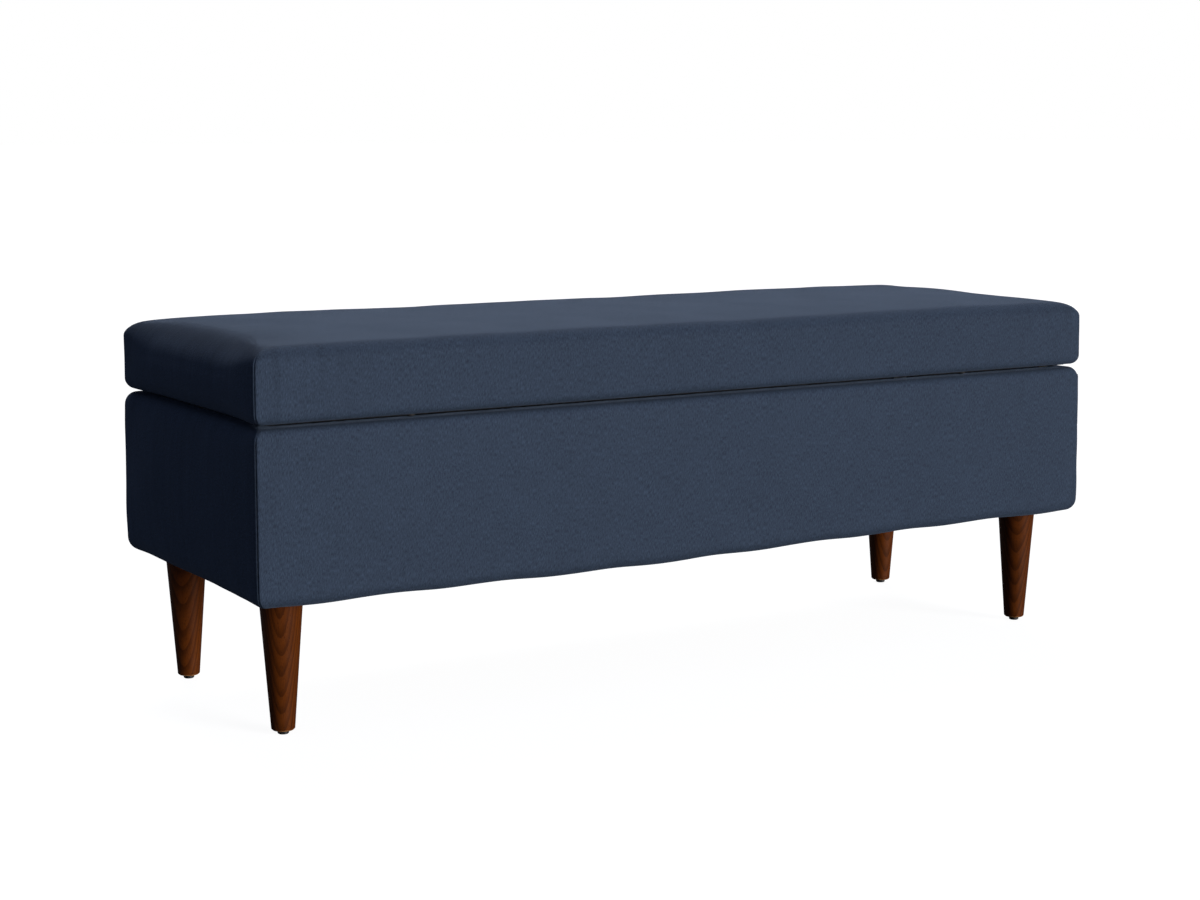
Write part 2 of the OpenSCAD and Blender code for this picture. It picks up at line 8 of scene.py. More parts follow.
import bpy
import numpy as np
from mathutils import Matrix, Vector


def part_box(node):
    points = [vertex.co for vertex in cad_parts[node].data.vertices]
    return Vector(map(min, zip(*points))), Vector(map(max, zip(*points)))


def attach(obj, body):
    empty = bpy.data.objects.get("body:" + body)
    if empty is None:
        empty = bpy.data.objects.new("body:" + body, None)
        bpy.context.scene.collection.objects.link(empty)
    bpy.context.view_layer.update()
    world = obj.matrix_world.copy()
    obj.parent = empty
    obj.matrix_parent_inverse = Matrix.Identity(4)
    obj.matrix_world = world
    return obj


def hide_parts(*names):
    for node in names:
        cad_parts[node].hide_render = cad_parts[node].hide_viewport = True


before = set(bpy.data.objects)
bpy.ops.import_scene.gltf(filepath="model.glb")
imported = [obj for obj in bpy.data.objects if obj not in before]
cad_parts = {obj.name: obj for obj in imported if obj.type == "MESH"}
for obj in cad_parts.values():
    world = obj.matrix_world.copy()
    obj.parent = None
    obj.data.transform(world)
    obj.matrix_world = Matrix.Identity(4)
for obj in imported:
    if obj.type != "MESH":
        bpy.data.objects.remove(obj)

logging.basicConfig(level=logging.INFO, format="%(name)s: %(message)s")
LOG = logging.getLogger("ottoman")

MM = 0.001
Triple = tuple[float, float, float]
Colour = Triple


# ---------- Node trees ----------


class Graph:
    """Adds nodes to one node tree and joins them."""

    def __init__(self, tree: bpy.types.NodeTree) -> None:
        """Keeps the tree."""
        self.tree = tree

    def add(self, kind: str, inputs: dict | None = None, **settings: object) -> bpy.types.Node:
        """Adds a node.

        Args:
            kind: The node's type name.
            inputs: Values or sockets, by input name or number.
            settings: The node's own properties.

        Returns:
            The new node.
        """
        node = self.tree.nodes.new(kind)
        for name, value in settings.items():
            setattr(node, name, value)
        for key, value in (inputs or {}).items():
            self.put(node.inputs[key], value)
        return node

    def put(self, socket: bpy.types.NodeSocket, value: object) -> None:
        """Joins a socket to another, or sets its value.

        Args:
            socket: The input to fill.
            value: An output socket, or a plain value.
        """
        if isinstance(value, bpy.types.NodeSocket):
            self.tree.links.new(value, socket)
        else:
            socket.default_value = value

    def math(self, operation: str, *values: object, clamp: bool = False) -> bpy.types.NodeSocket:
        """Adds a Math node.

        Args:
            operation: What it does.
            values: Its inputs in order.
            clamp: Whether the result stays from 0 to 1.

        Returns:
            Its result.
        """
        node = self.add("ShaderNodeMath", dict(enumerate(values)), operation=operation, use_clamp=clamp)
        return node.outputs[0]

    def plus(self, *values: object, clamp: bool = False) -> bpy.types.NodeSocket:
        """Adds two values."""
        return self.math("ADD", *values, clamp=clamp)

    def less(self, *values: object, clamp: bool = False) -> bpy.types.NodeSocket:
        """Takes the second value from the first."""
        return self.math("SUBTRACT", *values, clamp=clamp)

    def times(self, *values: object) -> bpy.types.NodeSocket:
        """Multiplies two values."""
        return self.math("MULTIPLY", *values)

    def swing(self, value: object, share: float) -> bpy.types.NodeSocket:
        """Gives how far a value lies from a half, times a share."""
        return self.times(self.less(value, 0.5), share)

    def parts(self, vector: object) -> bpy.types.NodeOutputs:
        """Splits a vector into X, Y and Z."""
        return self.add("ShaderNodeSeparateXYZ", {0: vector}).outputs

    def combined(self, x: object = 0.0, y: object = 0.0, z: object = 0.0) -> bpy.types.NodeSocket:
        """Combines three numbers into a vector."""
        return self.add("ShaderNodeCombineXYZ", {0: x, 1: y, 2: z}).outputs[0]

    def shaded(self, colour: object, factor: object) -> bpy.types.NodeSocket:
        """Makes a colour lighter or darker by a factor."""
        return self.add("ShaderNodeVectorMath", {0: colour, "Scale": factor}, operation="SCALE").outputs[0]

    def uv(self, name: str) -> bpy.types.NodeSocket:
        """Reads a UV map."""
        return self.add("ShaderNodeUVMap", uv_map=name).outputs[0]

    def marked(self, name: str) -> bpy.types.NodeSocket:
        """Reads a value that the mesh holds at each point."""
        return self.add("ShaderNodeAttribute", attribute_name=name).outputs["Fac"]

    def vector(self, operation: str, *values: object) -> bpy.types.NodeSocket:
        """Adds a Vector Math node.

        Args:
            operation: What it does.
            values: Its inputs in order.

        Returns:
            Its result.
        """
        return self.add("ShaderNodeVectorMath", dict(enumerate(values)), operation=operation).outputs[0]

    def between(self, value: object, low: float, high: float, to_low: float = 0.0,
                to_high: float = 1.0) -> bpy.types.NodeSocket:
        """Maps a range smoothly onto another.

        Args:
            value: The value to map.
            low: The value that gives to_low.
            high: The value that gives to_high.
            to_low: The result at low.
            to_high: The result at high.

        Returns:
            The mapped value.
        """
        node = self.add("ShaderNodeMapRange", {0: value, 1: low, 2: high, 3: to_low, 4: to_high},
                        interpolation_type="SMOOTHSTEP")
        return node.outputs[0]

    def mix(self, share: object, first: object, second: object, blend: str = "MIX") -> bpy.types.NodeSocket:
        """Mixes two colours.

        Args:
            share: How much of the second.
            first: A colour.
            second: Another colour.
            blend: How they mix.

        Returns:
            The mixed colour.
        """
        node = self.add("ShaderNodeMix", {0: share}, data_type="RGBA", blend_type=blend)
        for socket, value in ((node.inputs[6], first), (node.inputs[7], second)):
            self.put(socket, (*value, 1.0) if isinstance(value, tuple) and len(value) == 3 else value)
        return node.outputs[2]

    def noise(self, vector: object, scale: object, detail: float = 2.0,
              rough: float = 0.5) -> bpy.types.NodeSocket:
        """Adds cloudy noise.

        Args:
            vector: Where it is read.
            scale: Waves to the metre.
            detail: How many finer layers it has.
            rough: How strong those are.

        Returns:
            A value about 0.5.
        """
        node = self.add("ShaderNodeTexNoise",
                        {"Vector": vector, "Scale": scale, "Detail": detail, "Roughness": rough})
        return node.outputs[0]

    def turned(self, vector: object, turn: Triple, offset: Triple) -> bpy.types.NodeSocket:
        """Turns coordinates.

        Args:
            vector: The coordinates.
            turn: The turn about each axis in degrees.
            offset: What is added after the turn.

        Returns:
            The new coordinates.
        """
        angles = tuple(math.radians(a) for a in turn)
        given = {"Vector": vector, "Location": offset, "Rotation": angles}
        return self.add("ShaderNodeMapping", given).outputs[0]

    def stretched(self, vector: object, scale: Triple, turn: float = 0.0,
                  offset: Triple = (0.0, 0.0, 0.0)) -> bpy.types.NodeSocket:
        """Turns coordinates, then stretches them.

        Args:
            vector: The coordinates.
            scale: The factor on each axis.
            turn: The turn about Z in degrees, made first.
            offset: What is added after the turn.

        Returns:
            The new coordinates.
        """
        return self.vector("MULTIPLY", self.turned(vector, (0.0, 0.0, turn), offset), scale)


class Effect:
    """A shader node group with named inputs and outputs, built once and placed in any material."""

    title = "effect"
    wants: tuple[tuple[str, str, object], ...] = ()
    gives: tuple[tuple[str, str], ...] = ()

    def build(self, g: Graph, given: dict[str, bpy.types.NodeSocket]) -> dict[str, bpy.types.NodeSocket]:
        """Makes the group's inside; each effect has its own."""
        raise NotImplementedError

    def group(self) -> bpy.types.NodeTree:
        """Finds or makes the group.

        Returns:
            The node group.
        """
        tree = bpy.data.node_groups.get(self.title)
        if tree is not None:
            return tree
        tree = bpy.data.node_groups.new(self.title, "ShaderNodeTree")
        for name, kind, value in self.wants:
            socket = tree.interface.new_socket(name, in_out="INPUT", socket_type=kind)
            if value is not None:
                socket.default_value = value
        for name, kind in self.gives:
            tree.interface.new_socket(name, in_out="OUTPUT", socket_type=kind)
        g = Graph(tree)
        source = g.add("NodeGroupInput")
        made = self.build(g, {name: source.outputs[name] for name, _, _ in self.wants})
        g.add("NodeGroupOutput", made)
        return tree

    def place(self, g: Graph, **values: object) -> dict[str, bpy.types.NodeSocket]:
        """Places the group in a material.

        Args:
            g: The material's graph.
            values: The group's inputs, with _ for a space.

        Returns:
            Its outputs by name.
        """
        node = g.add("ShaderNodeGroup", node_tree=self.group())
        for name, value in values.items():
            g.put(node.inputs[name.replace("_", " ")], value)
        return {name: node.outputs[name] for name, _ in self.gives}


FLOAT, VECTOR, COLOUR = "NodeSocketFloat", "NodeSocketVector", "NodeSocketColor"


class NapWeave(Effect):
    """Brushed plain weave: slanted nap, fine grain, threads, and pulls that follow the fall of the cloth."""

    title = "nap_weave"
    wants = (("Thread", VECTOR, None), ("Fall", VECTOR, None), ("Pull", FLOAT, 0.0), ("Nap", FLOAT, 1.0),
             ("Grain", FLOAT, 1.0), ("Pitch", FLOAT, 0.0009), ("Weave", FLOAT, 1.0))
    gives = (("Shade", FLOAT), ("Height", FLOAT), ("Fuzz", FLOAT))

    def build(self, g: Graph, given: dict[str, bpy.types.NodeSocket]) -> dict[str, bpy.types.NodeSocket]:
        """Makes the weave.

        Args:
            g: The group's graph.
            given: Its inputs.

        Returns:
            Shade about 1, which holds the pulls' streaks partly as painted shade of their wrinkles, Height in
            millimetres, and Fuzz from 0 to 1.
        """
        thread, fall = given["Thread"], given["Fall"]
        cloud = g.noise(thread, 9.0, 3.0, 0.55)
        drift = g.swing(cloud, 0.03)
        warped = g.vector("ADD", thread, g.combined(drift, drift))
        strokes = g.noise(g.stretched(warped, (860.0, 210.0, 1.0), 9.0), 1.0, 2.0, 0.6)
        crossed = g.noise(g.stretched(warped, (75.0, 30.0, 1.0), 34.0, (3.1, 1.7, 0.0)), 1.0, 3.0, 0.6)
        grain = g.noise(thread, 900.0, 2.0, 0.6)
        nap = g.plus(g.plus(g.swing(strokes, 1.7), g.swing(crossed, 0.22)), g.swing(cloud, 0.12))
        speck = g.swing(grain, 0.5)
        streaks = g.noise(g.stretched(fall, (250.0, 9.0, 1.0)), 1.0, 3.0, 0.6)
        folds = g.noise(g.stretched(fall, (72.0, 5.0, 1.0), 0.0, (0.7, 0.2, 0.0)), 1.0, 2.0, 0.5)
        pulled = g.times(g.plus(g.swing(streaks, 0.55), g.swing(folds, 1.0)), given["Pull"])
        waves = [g.math("SINE", g.times(g.math("DIVIDE", along, given["Pitch"]), 2 * math.pi))
                 for along in g.parts(thread)[:2]]
        woven = g.times(g.times(waves[0], waves[1]), given["Weave"])
        brushed = g.times(nap, given["Nap"])
        shade = g.plus(g.plus(1.0, brushed), g.times(speck, given["Grain"]))
        # the pulls go into the colour too: partly the nap's own streaking, partly painted shade of their fine
        # wrinkles
        shade = g.plus(g.plus(shade, g.times(pulled, 0.55)), g.times(woven, 0.035))
        height = g.plus(g.times(woven, 0.035), g.times(pulled, 0.62))
        height = g.plus(g.plus(height, g.times(brushed, 0.3)), g.times(speck, 0.1))
        return {"Shade": shade, "Height": height, "Fuzz": g.plus(strokes, nap, clamp=True)}


class WoodGrain(Effect):
    """Growth rings cut lengthwise, with fine streaks, pores and a slow change of tone."""

    title = "wood_grain"
    wants = (("Vector", VECTOR, None), ("Ring", FLOAT, 0.0042), ("Wander", FLOAT, 0.0035),
             ("Pores", FLOAT, 1.0))
    gives = (("Tone", FLOAT), ("Pore", FLOAT), ("Height", FLOAT))

    def build(self, g: Graph, given: dict[str, bpy.types.NodeSocket]) -> dict[str, bpy.types.NodeSocket]:
        """Makes the grain, which runs along Z.

        Args:
            g: The group's graph.
            given: Its inputs.

        Returns:
            Tone from 0, pale, to 1, dark, Pore from 0 to 1, and Height in millimetres.
        """
        place = given["Vector"]
        bend = g.noise(g.stretched(place, (14.0, 14.0, 4.5)), 1.0, 2.0, 0.5)
        squares = [g.math("POWER", along, 2.0) for along in g.parts(place)[:2]]
        reach = g.math("SQRT", g.plus(*squares))
        reach = g.plus(reach, g.times(g.less(bend, 0.5), g.times(given["Wander"], 4.0)))
        turn = g.math("FRACT", g.math("DIVIDE", reach, given["Ring"]))
        late = g.between(turn, 0.25, 0.95)
        ring = g.times(late, g.between(turn, 0.95, 1.0, 1.0, 0.0))
        streak = g.noise(g.stretched(place, (900.0, 900.0, 9.0)), 1.0, 3.0, 0.6)
        broad = g.noise(g.stretched(place, (90.0, 90.0, 5.0)), 1.0, 2.0, 0.5)
        dots = g.noise(g.stretched(place, (1500.0, 1500.0, 60.0)), 1.0, 1.0, 0.5)
        pore = g.times(g.between(dots, 0.60, 0.70), given["Pores"])
        tone = g.plus(g.plus(g.times(ring, 0.42), g.times(streak, 0.42)), g.times(broad, 0.45))
        tone = g.less(tone, 0.18, clamp=True)
        height = g.less(g.times(streak, 0.03), g.times(pore, 0.05))
        return {"Tone": tone, "Pore": pore, "Height": height}


class Handling(Effect):
    """Marks of making and use: hairlines one way, smudges and fine specks."""

    title = "handling"
    wants = (("Vector", VECTOR, None), ("Lines", VECTOR, (1500.0, 60.0, 1500.0)), ("Smudge", FLOAT, 40.0))
    gives = (("Line", FLOAT), ("Smear", FLOAT), ("Speck", FLOAT))

    def build(self, g: Graph, given: dict[str, bpy.types.NodeSocket]) -> dict[str, bpy.types.NodeSocket]:
        """Makes the marks.

        Args:
            g: The group's graph.
            given: Its inputs.

        Returns:
            Three values from 0 to 1.
        """
        line = g.noise(g.vector("MULTIPLY", given["Vector"], given["Lines"]), 1.0, 2.0, 0.5)
        smear = g.between(g.noise(given["Vector"], given["Smudge"], 4.0, 0.6), 0.35, 0.7)
        speck = g.between(g.noise(given["Vector"], 2600.0, 1.0, 0.5), 0.55, 0.72)
        return {"Line": line, "Smear": smear, "Speck": speck}


# ---------- Finishes ----------


class Slot(str, Enum):
    """Names of those of the record's material slots meant for the pieces made here; no piece is put in one."""

    COVER = "cover_fabric"
    LINING = "lining_fabric"
    CAMBRIC = "cambric"
    RUBBER = "bumper_rubber"
    ZINC = "zinc_steel"


def surface(title: str, **sockets: object) -> tuple[bpy.types.Material, Graph, bpy.types.Node]:
    """Starts a material.

    Args:
        title: Its name.
        sockets: Plain values of the shader's own sockets, with _ for a space.

    Returns:
        The material, its graph and its Principled shader.
    """
    material = bpy.data.materials.new(title)
    material.use_nodes = True
    g = Graph(material.node_tree)
    shader = material.node_tree.nodes["Principled BSDF"]
    for name, value in sockets.items():
        if isinstance(value, tuple) and len(value) == 3:
            value = (*value, 1.0)
        shader.inputs[name.replace("_", " ")].default_value = value
    return material, g, shader


def relief(g: Graph, shader: bpy.types.Node, height: object, strength: float = 1.0) -> None:
    """Raises a surface by a height in millimetres.

    Args:
        g: The material's graph.
        shader: Its shader.
        height: The height.
        strength: How much of it shows.
    """
    bump = g.add("ShaderNodeBump", {"Height": height, "Distance": MM, "Strength": strength})
    g.put(shader.inputs["Normal"], bump.outputs[0])


def place_of(g: Graph) -> bpy.types.NodeSocket:
    """Gives Object coordinates."""
    return g.add("ShaderNodeTexCoord").outputs["Object"]


@dataclass(frozen=True)
class CoverCloth:
    """Navy brushed weave of the covers."""

    tint: Colour = (0.0265, 0.0395, 0.0665)
    light: Colour = (0.0345, 0.0505, 0.0815)
    pitch: float = 0.9 * MM
    rough: float = 0.82
    sheen: float = 0.13
    painted_shade_full: float = 3.0   # the painted shade at which the cloth is darkest
    painted_shade_dark: float = 0.16  # how bright it is there

    def material(self) -> bpy.types.Material:
        """Makes the cloth.

        Returns:
            The material. It reads the UV maps thread and fall, the attribute pull, and the painted-shade
            attribute that darkens edges, rims and seams.
        """
        material, g, shader = surface("navy_cover_cloth", Sheen_Weight=self.sheen, Sheen_Roughness=0.45,
                                      Sheen_Tint=(0.5, 0.66, 0.95), Specular_IOR_Level=0.15)
        cloth = NapWeave().place(g, Thread=g.uv("thread"), Fall=g.uv("fall"), Pull=g.marked("pull"),
                                 Pitch=self.pitch)
        base = g.mix(cloth["Fuzz"], self.tint, self.light)
        # painted shade: the mesh's shade attribute darkens the base colour along edges, rims and seams
        shade = g.times(cloth["Shade"], g.between(g.marked("painted_shade"), 0.0, self.painted_shade_full, 1.0, self.painted_shade_dark))
        g.put(shader.inputs["Base Color"], g.shaded(base, shade))
        g.put(shader.inputs["Roughness"],
              g.between(cloth["Fuzz"], 0.0, 1.0, self.rough - 0.08, self.rough + 0.1))
        relief(g, shader, cloth["Height"], 0.8)
        return material


@dataclass(frozen=True)
class PlainCloth:
    """Thin woven or spunbond cloth out of sight: lining and cambric."""

    title: str
    tint: Colour
    pitch: float
    weave: float

    def material(self) -> bpy.types.Material:
        """Makes the cloth.

        Returns:
            The material. It reads the UV map thread.
        """
        material, g, shader = surface(self.title, Sheen_Weight=0.15, Sheen_Roughness=0.5,
                                      Specular_IOR_Level=0.2)
        thread = g.uv("thread")
        cloth = NapWeave().place(g, Thread=thread, Fall=thread, Pull=0.12, Pitch=self.pitch, Nap=0.5,
                                 Grain=0.8, Weave=self.weave)
        g.put(shader.inputs["Base Color"], g.shaded(self.tint, cloth["Shade"]))
        g.put(shader.inputs["Roughness"], g.between(cloth["Fuzz"], 0.0, 1.0, 0.78, 0.95))
        relief(g, shader, cloth["Height"], 0.9)
        return material


@dataclass(frozen=True)
class Walnut:
    """Oiled walnut of one turned leg; the foot's bevel is coloured paler."""

    leg: str
    heart: tuple[float, float]
    twist: float
    pale: Colour = (0.138, 0.033, 0.0036)
    dark: Colour = (0.026, 0.0052, 0.0007)
    bevel_tint: Colour = (0.46, 0.21, 0.075)
    bevel_top: float = 6.7 * MM
    lean: tuple[float, float] = (5.0, -4.0)  # how the grain leans from the leg's axis, in degrees

    def material(self) -> bpy.types.Material:
        """Makes the wood.

        Returns:
            The material, on Object coordinates turned and shifted for each leg, so that no two look the same.
        """
        material, g, shader = surface(f"walnut_{self.leg}", Coat_Roughness=0.3, Specular_IOR_Level=0.12)
        place = place_of(g)
        turned = g.turned(place, (*self.lean, self.twist), (-self.heart[0], -self.heart[1], 0.0))
        wood = WoodGrain().place(g, Vector=turned)
        colour = g.mix(wood["Tone"], self.pale, self.dark)
        colour = g.mix(g.times(wood["Pore"], 0.6), colour, self.dark)
        foot = g.between(g.parts(place)[2], self.bevel_top - 0.15 * MM, self.bevel_top + 0.1 * MM, 1.0, 0.0)
        colour = g.mix(foot, colour, g.mix(wood["Tone"], self.bevel_tint, self.pale))
        g.put(shader.inputs["Base Color"], colour)
        marks = Handling().place(g, Vector=place, Smudge=55.0)
        g.put(shader.inputs["Roughness"],
              g.plus(g.between(marks["Smear"], 0.0, 1.0, 0.36, 0.46), g.times(wood["Pore"], 0.2)))
        g.put(shader.inputs["Coat Weight"], g.between(wood["Tone"], 0.0, 1.0, 0.05, 0.02))
        relief(g, shader, wood["Height"])
        return material


class Run(Enum):
    """The way a board's grain runs: the turn that puts its length on Z, in degrees."""

    ALONG_X = (0.0, 90.0, 0.0)
    ALONG_Y = (90.0, 0.0, 0.0)
    UP = (0.0, 0.0, 0.0)


@dataclass(frozen=True)
class Timber:
    """Sawn or laminated board of the hidden frame."""

    title: str
    pale: Colour
    dark: Colour
    run: Run
    ring: float
    plies: float = 0.0
    ply_axis: int = 2
    heart: Triple = (0.31, 0.17, 0.23)

    def material(self) -> bpy.types.Material:
        """Makes the board.

        Returns:
            The material, on Object coordinates.
        """
        material, g, shader = surface(self.title, Specular_IOR_Level=0.3)
        place = place_of(g)
        turned = g.turned(place, self.run.value, self.heart)
        wood = WoodGrain().place(g, Vector=turned, Ring=self.ring, Wander=0.006, Pores=0.5)
        colour = g.mix(wood["Tone"], self.pale, self.dark)
        height = wood["Height"]
        if self.plies:
            across = g.parts(place)[self.ply_axis]
            layer = g.math("PINGPONG", g.math("DIVIDE", across, self.plies), 1.0)
            glue = g.between(layer, 0.0, 0.12, 1.0, 0.0)
            colour = g.mix(g.times(glue, 0.55), colour, self.dark)
            height = g.less(height, g.times(glue, 0.02))
        g.put(shader.inputs["Base Color"], colour)
        g.put(shader.inputs["Roughness"], g.between(wood["Tone"], 0.0, 1.0, 0.62, 0.78))
        relief(g, shader, height)
        return material


@dataclass(frozen=True)
class Steel:
    """Plated sheet or wire steel."""

    title: str
    bright: Colour
    dull: Colour
    rough: float
    lines: Triple = (1500.0, 60.0, 1500.0)

    def material(self) -> bpy.types.Material:
        """Makes the metal.

        Returns:
            The material, on Object coordinates.
        """
        material, g, shader = surface(self.title, Metallic=1.0)
        marks = Handling().place(g, Vector=place_of(g), Lines=self.lines)
        colour = g.mix(g.times(marks["Smear"], 0.6), self.bright, self.dull)
        colour = g.mix(g.times(marks["Speck"], 0.25), colour, self.dull)
        g.put(shader.inputs["Base Color"], colour)
        rough = g.plus(self.rough - 0.05, g.times(marks["Line"], 0.12))
        g.put(shader.inputs["Roughness"], g.plus(rough, g.times(marks["Smear"], 0.1)))
        relief(g, shader, g.times(marks["Line"], 0.012))
        return material


@dataclass(frozen=True)
class Moulded:
    """Moulded plastic or rubber with a fine tooled texture and scuffs."""

    title: str
    tint: Colour
    scuff: Colour
    rough: float

    def material(self) -> bpy.types.Material:
        """Makes the moulding.

        Returns:
            The material, on Object coordinates.
        """
        material, g, shader = surface(self.title, Specular_IOR_Level=0.45)
        marks = Handling().place(g, Vector=place_of(g), Lines=(300.0, 300.0, 2200.0), Smudge=160.0)
        g.put(shader.inputs["Base Color"], g.mix(g.times(marks["Smear"], 0.5), self.tint, self.scuff))
        g.put(shader.inputs["Roughness"], g.between(marks["Smear"], 0.0, 1.0, self.rough, self.rough + 0.18))
        relief(g, shader, g.times(g.plus(marks["Speck"], marks["Line"]), 0.02))
        return material


# ---------- Sewn forms ----------


class Side(Enum):
    """The four upright faces, in order round the piece as seen from above."""

    FRONT = 0
    RIGHT = 1
    BACK = 2
    LEFT = 3


@dataclass(frozen=True)
class Row:
    """One line round the form. Insets and heights in millimetres, the rest from 0 to 1."""

    inset_long: float
    z_long: float
    inset_end: float
    z_end: float
    corner: float = 1.0  # how much of the corner's rounding it has
    soft: float = 0.0    # how far that rounding has grown to the top one
    seam: float = 1.0    # how deep the seam lies
    crown: float = 0.0   # how much of the top's rise it has
    droop: float = 0.0   # how much of the lower edge's sag it has
    swell: float = 0.0   # how much of the faces' swell it has
    held: float = 0.0    # 1 where the cloth is fixed


def smooth(value: np.ndarray | float) -> np.ndarray | float:
    """Gives a smooth step of a value from 0 to 1."""
    t = np.clip(value, 0.0, 1.0)
    return t * t * (3.0 - 2.0 * t)


def blended(first: float, second: float, share: float) -> float:
    """Gives the value a share of the way from first to second."""
    return first + (second - first) * share


def ripple(points: np.ndarray, seed: int, wave: float, waves: int = 14) -> np.ndarray:
    """Gives slow, even unevenness.

    Args:
        points: Places, in any shape with 3 last.
        seed: Fixes the waves.
        wave: Their rough length.
        waves: How many there are.

    Returns:
        A value about 0 for each place, mostly from -1 to 1.
    """
    rng = np.random.default_rng(seed)
    total = np.zeros(points.shape[:-1])
    for _ in range(waves):
        way = rng.normal(size=3)
        way *= 2.0 * math.pi / (np.linalg.norm(way) * wave * rng.uniform(0.6, 1.6))
        total += np.sin(points @ way + rng.uniform(0.0, 2.0 * math.pi))
    return total / math.sqrt(waves)


def cells(grid: np.ndarray) -> np.ndarray:
    """Gives the four corners of each cell of a grid."""
    return np.stack([grid[:-1, :-1], grid[:-1, 1:], grid[1:, 1:], grid[1:, :-1]], 2)


def lengths(points: np.ndarray, axis: int) -> np.ndarray:
    """Gives the distance run along an axis of a grid of points, from 0 at its start."""
    steps = np.linalg.norm(np.diff(points, axis=axis), axis=2)
    return np.concatenate([np.zeros_like(steps.take([0], axis)), np.cumsum(steps, axis)], axis)


def edges_of(ring: np.ndarray, along: int, across: int) -> tuple[np.ndarray, ...]:
    """Splits a closed row into the edges of a field.

    Args:
        ring: The row, from the front left corner.
        along: How many points an end has.
        across: How many points the front has.

    Returns:
        The front, back, left and right edges.
    """
    front, right = ring[:across], ring[across - 1:across - 1 + along]
    back = ring[across + along - 2:2 * across + along - 2][::-1]
    left = np.concatenate([ring[2 * across + along - 3:], ring[:1]])[::-1]
    return front, back, left, right


@dataclass(frozen=True)
class Corner:
    """How the two faces round off into a corner seam, in millimetres: a depth over a width on each."""

    depth_long: float
    width_long: float
    depth_end: float
    width_end: float


@dataclass
class Skin:
    """A finished surface: the band of rows round it and the flat fields that close it, in millimetres."""

    band: np.ndarray
    top: np.ndarray | None
    bottom: np.ndarray | None


@dataclass(frozen=True)
class Hang:
    """How far a lower edge hangs below its board: a fold, a slack middle and scallops between tacks."""

    fold: float = 0.0
    sag: float = 0.0
    sag_at: float = 0.0
    sag_reach: float = 1.0
    scallop: float = 0.0
    tack_pitch: float = 155.0
    tack_at: float = 392.0

    def depth(self, x: np.ndarray | float) -> np.ndarray | float:
        """Gives the depth at places along the edge."""
        return (self.fold + self.sag * np.exp(-((x - self.sag_at) / self.sag_reach) ** 2)
                + self.scallop * np.cos(2.0 * math.pi * (x - self.tack_at) / self.tack_pitch))


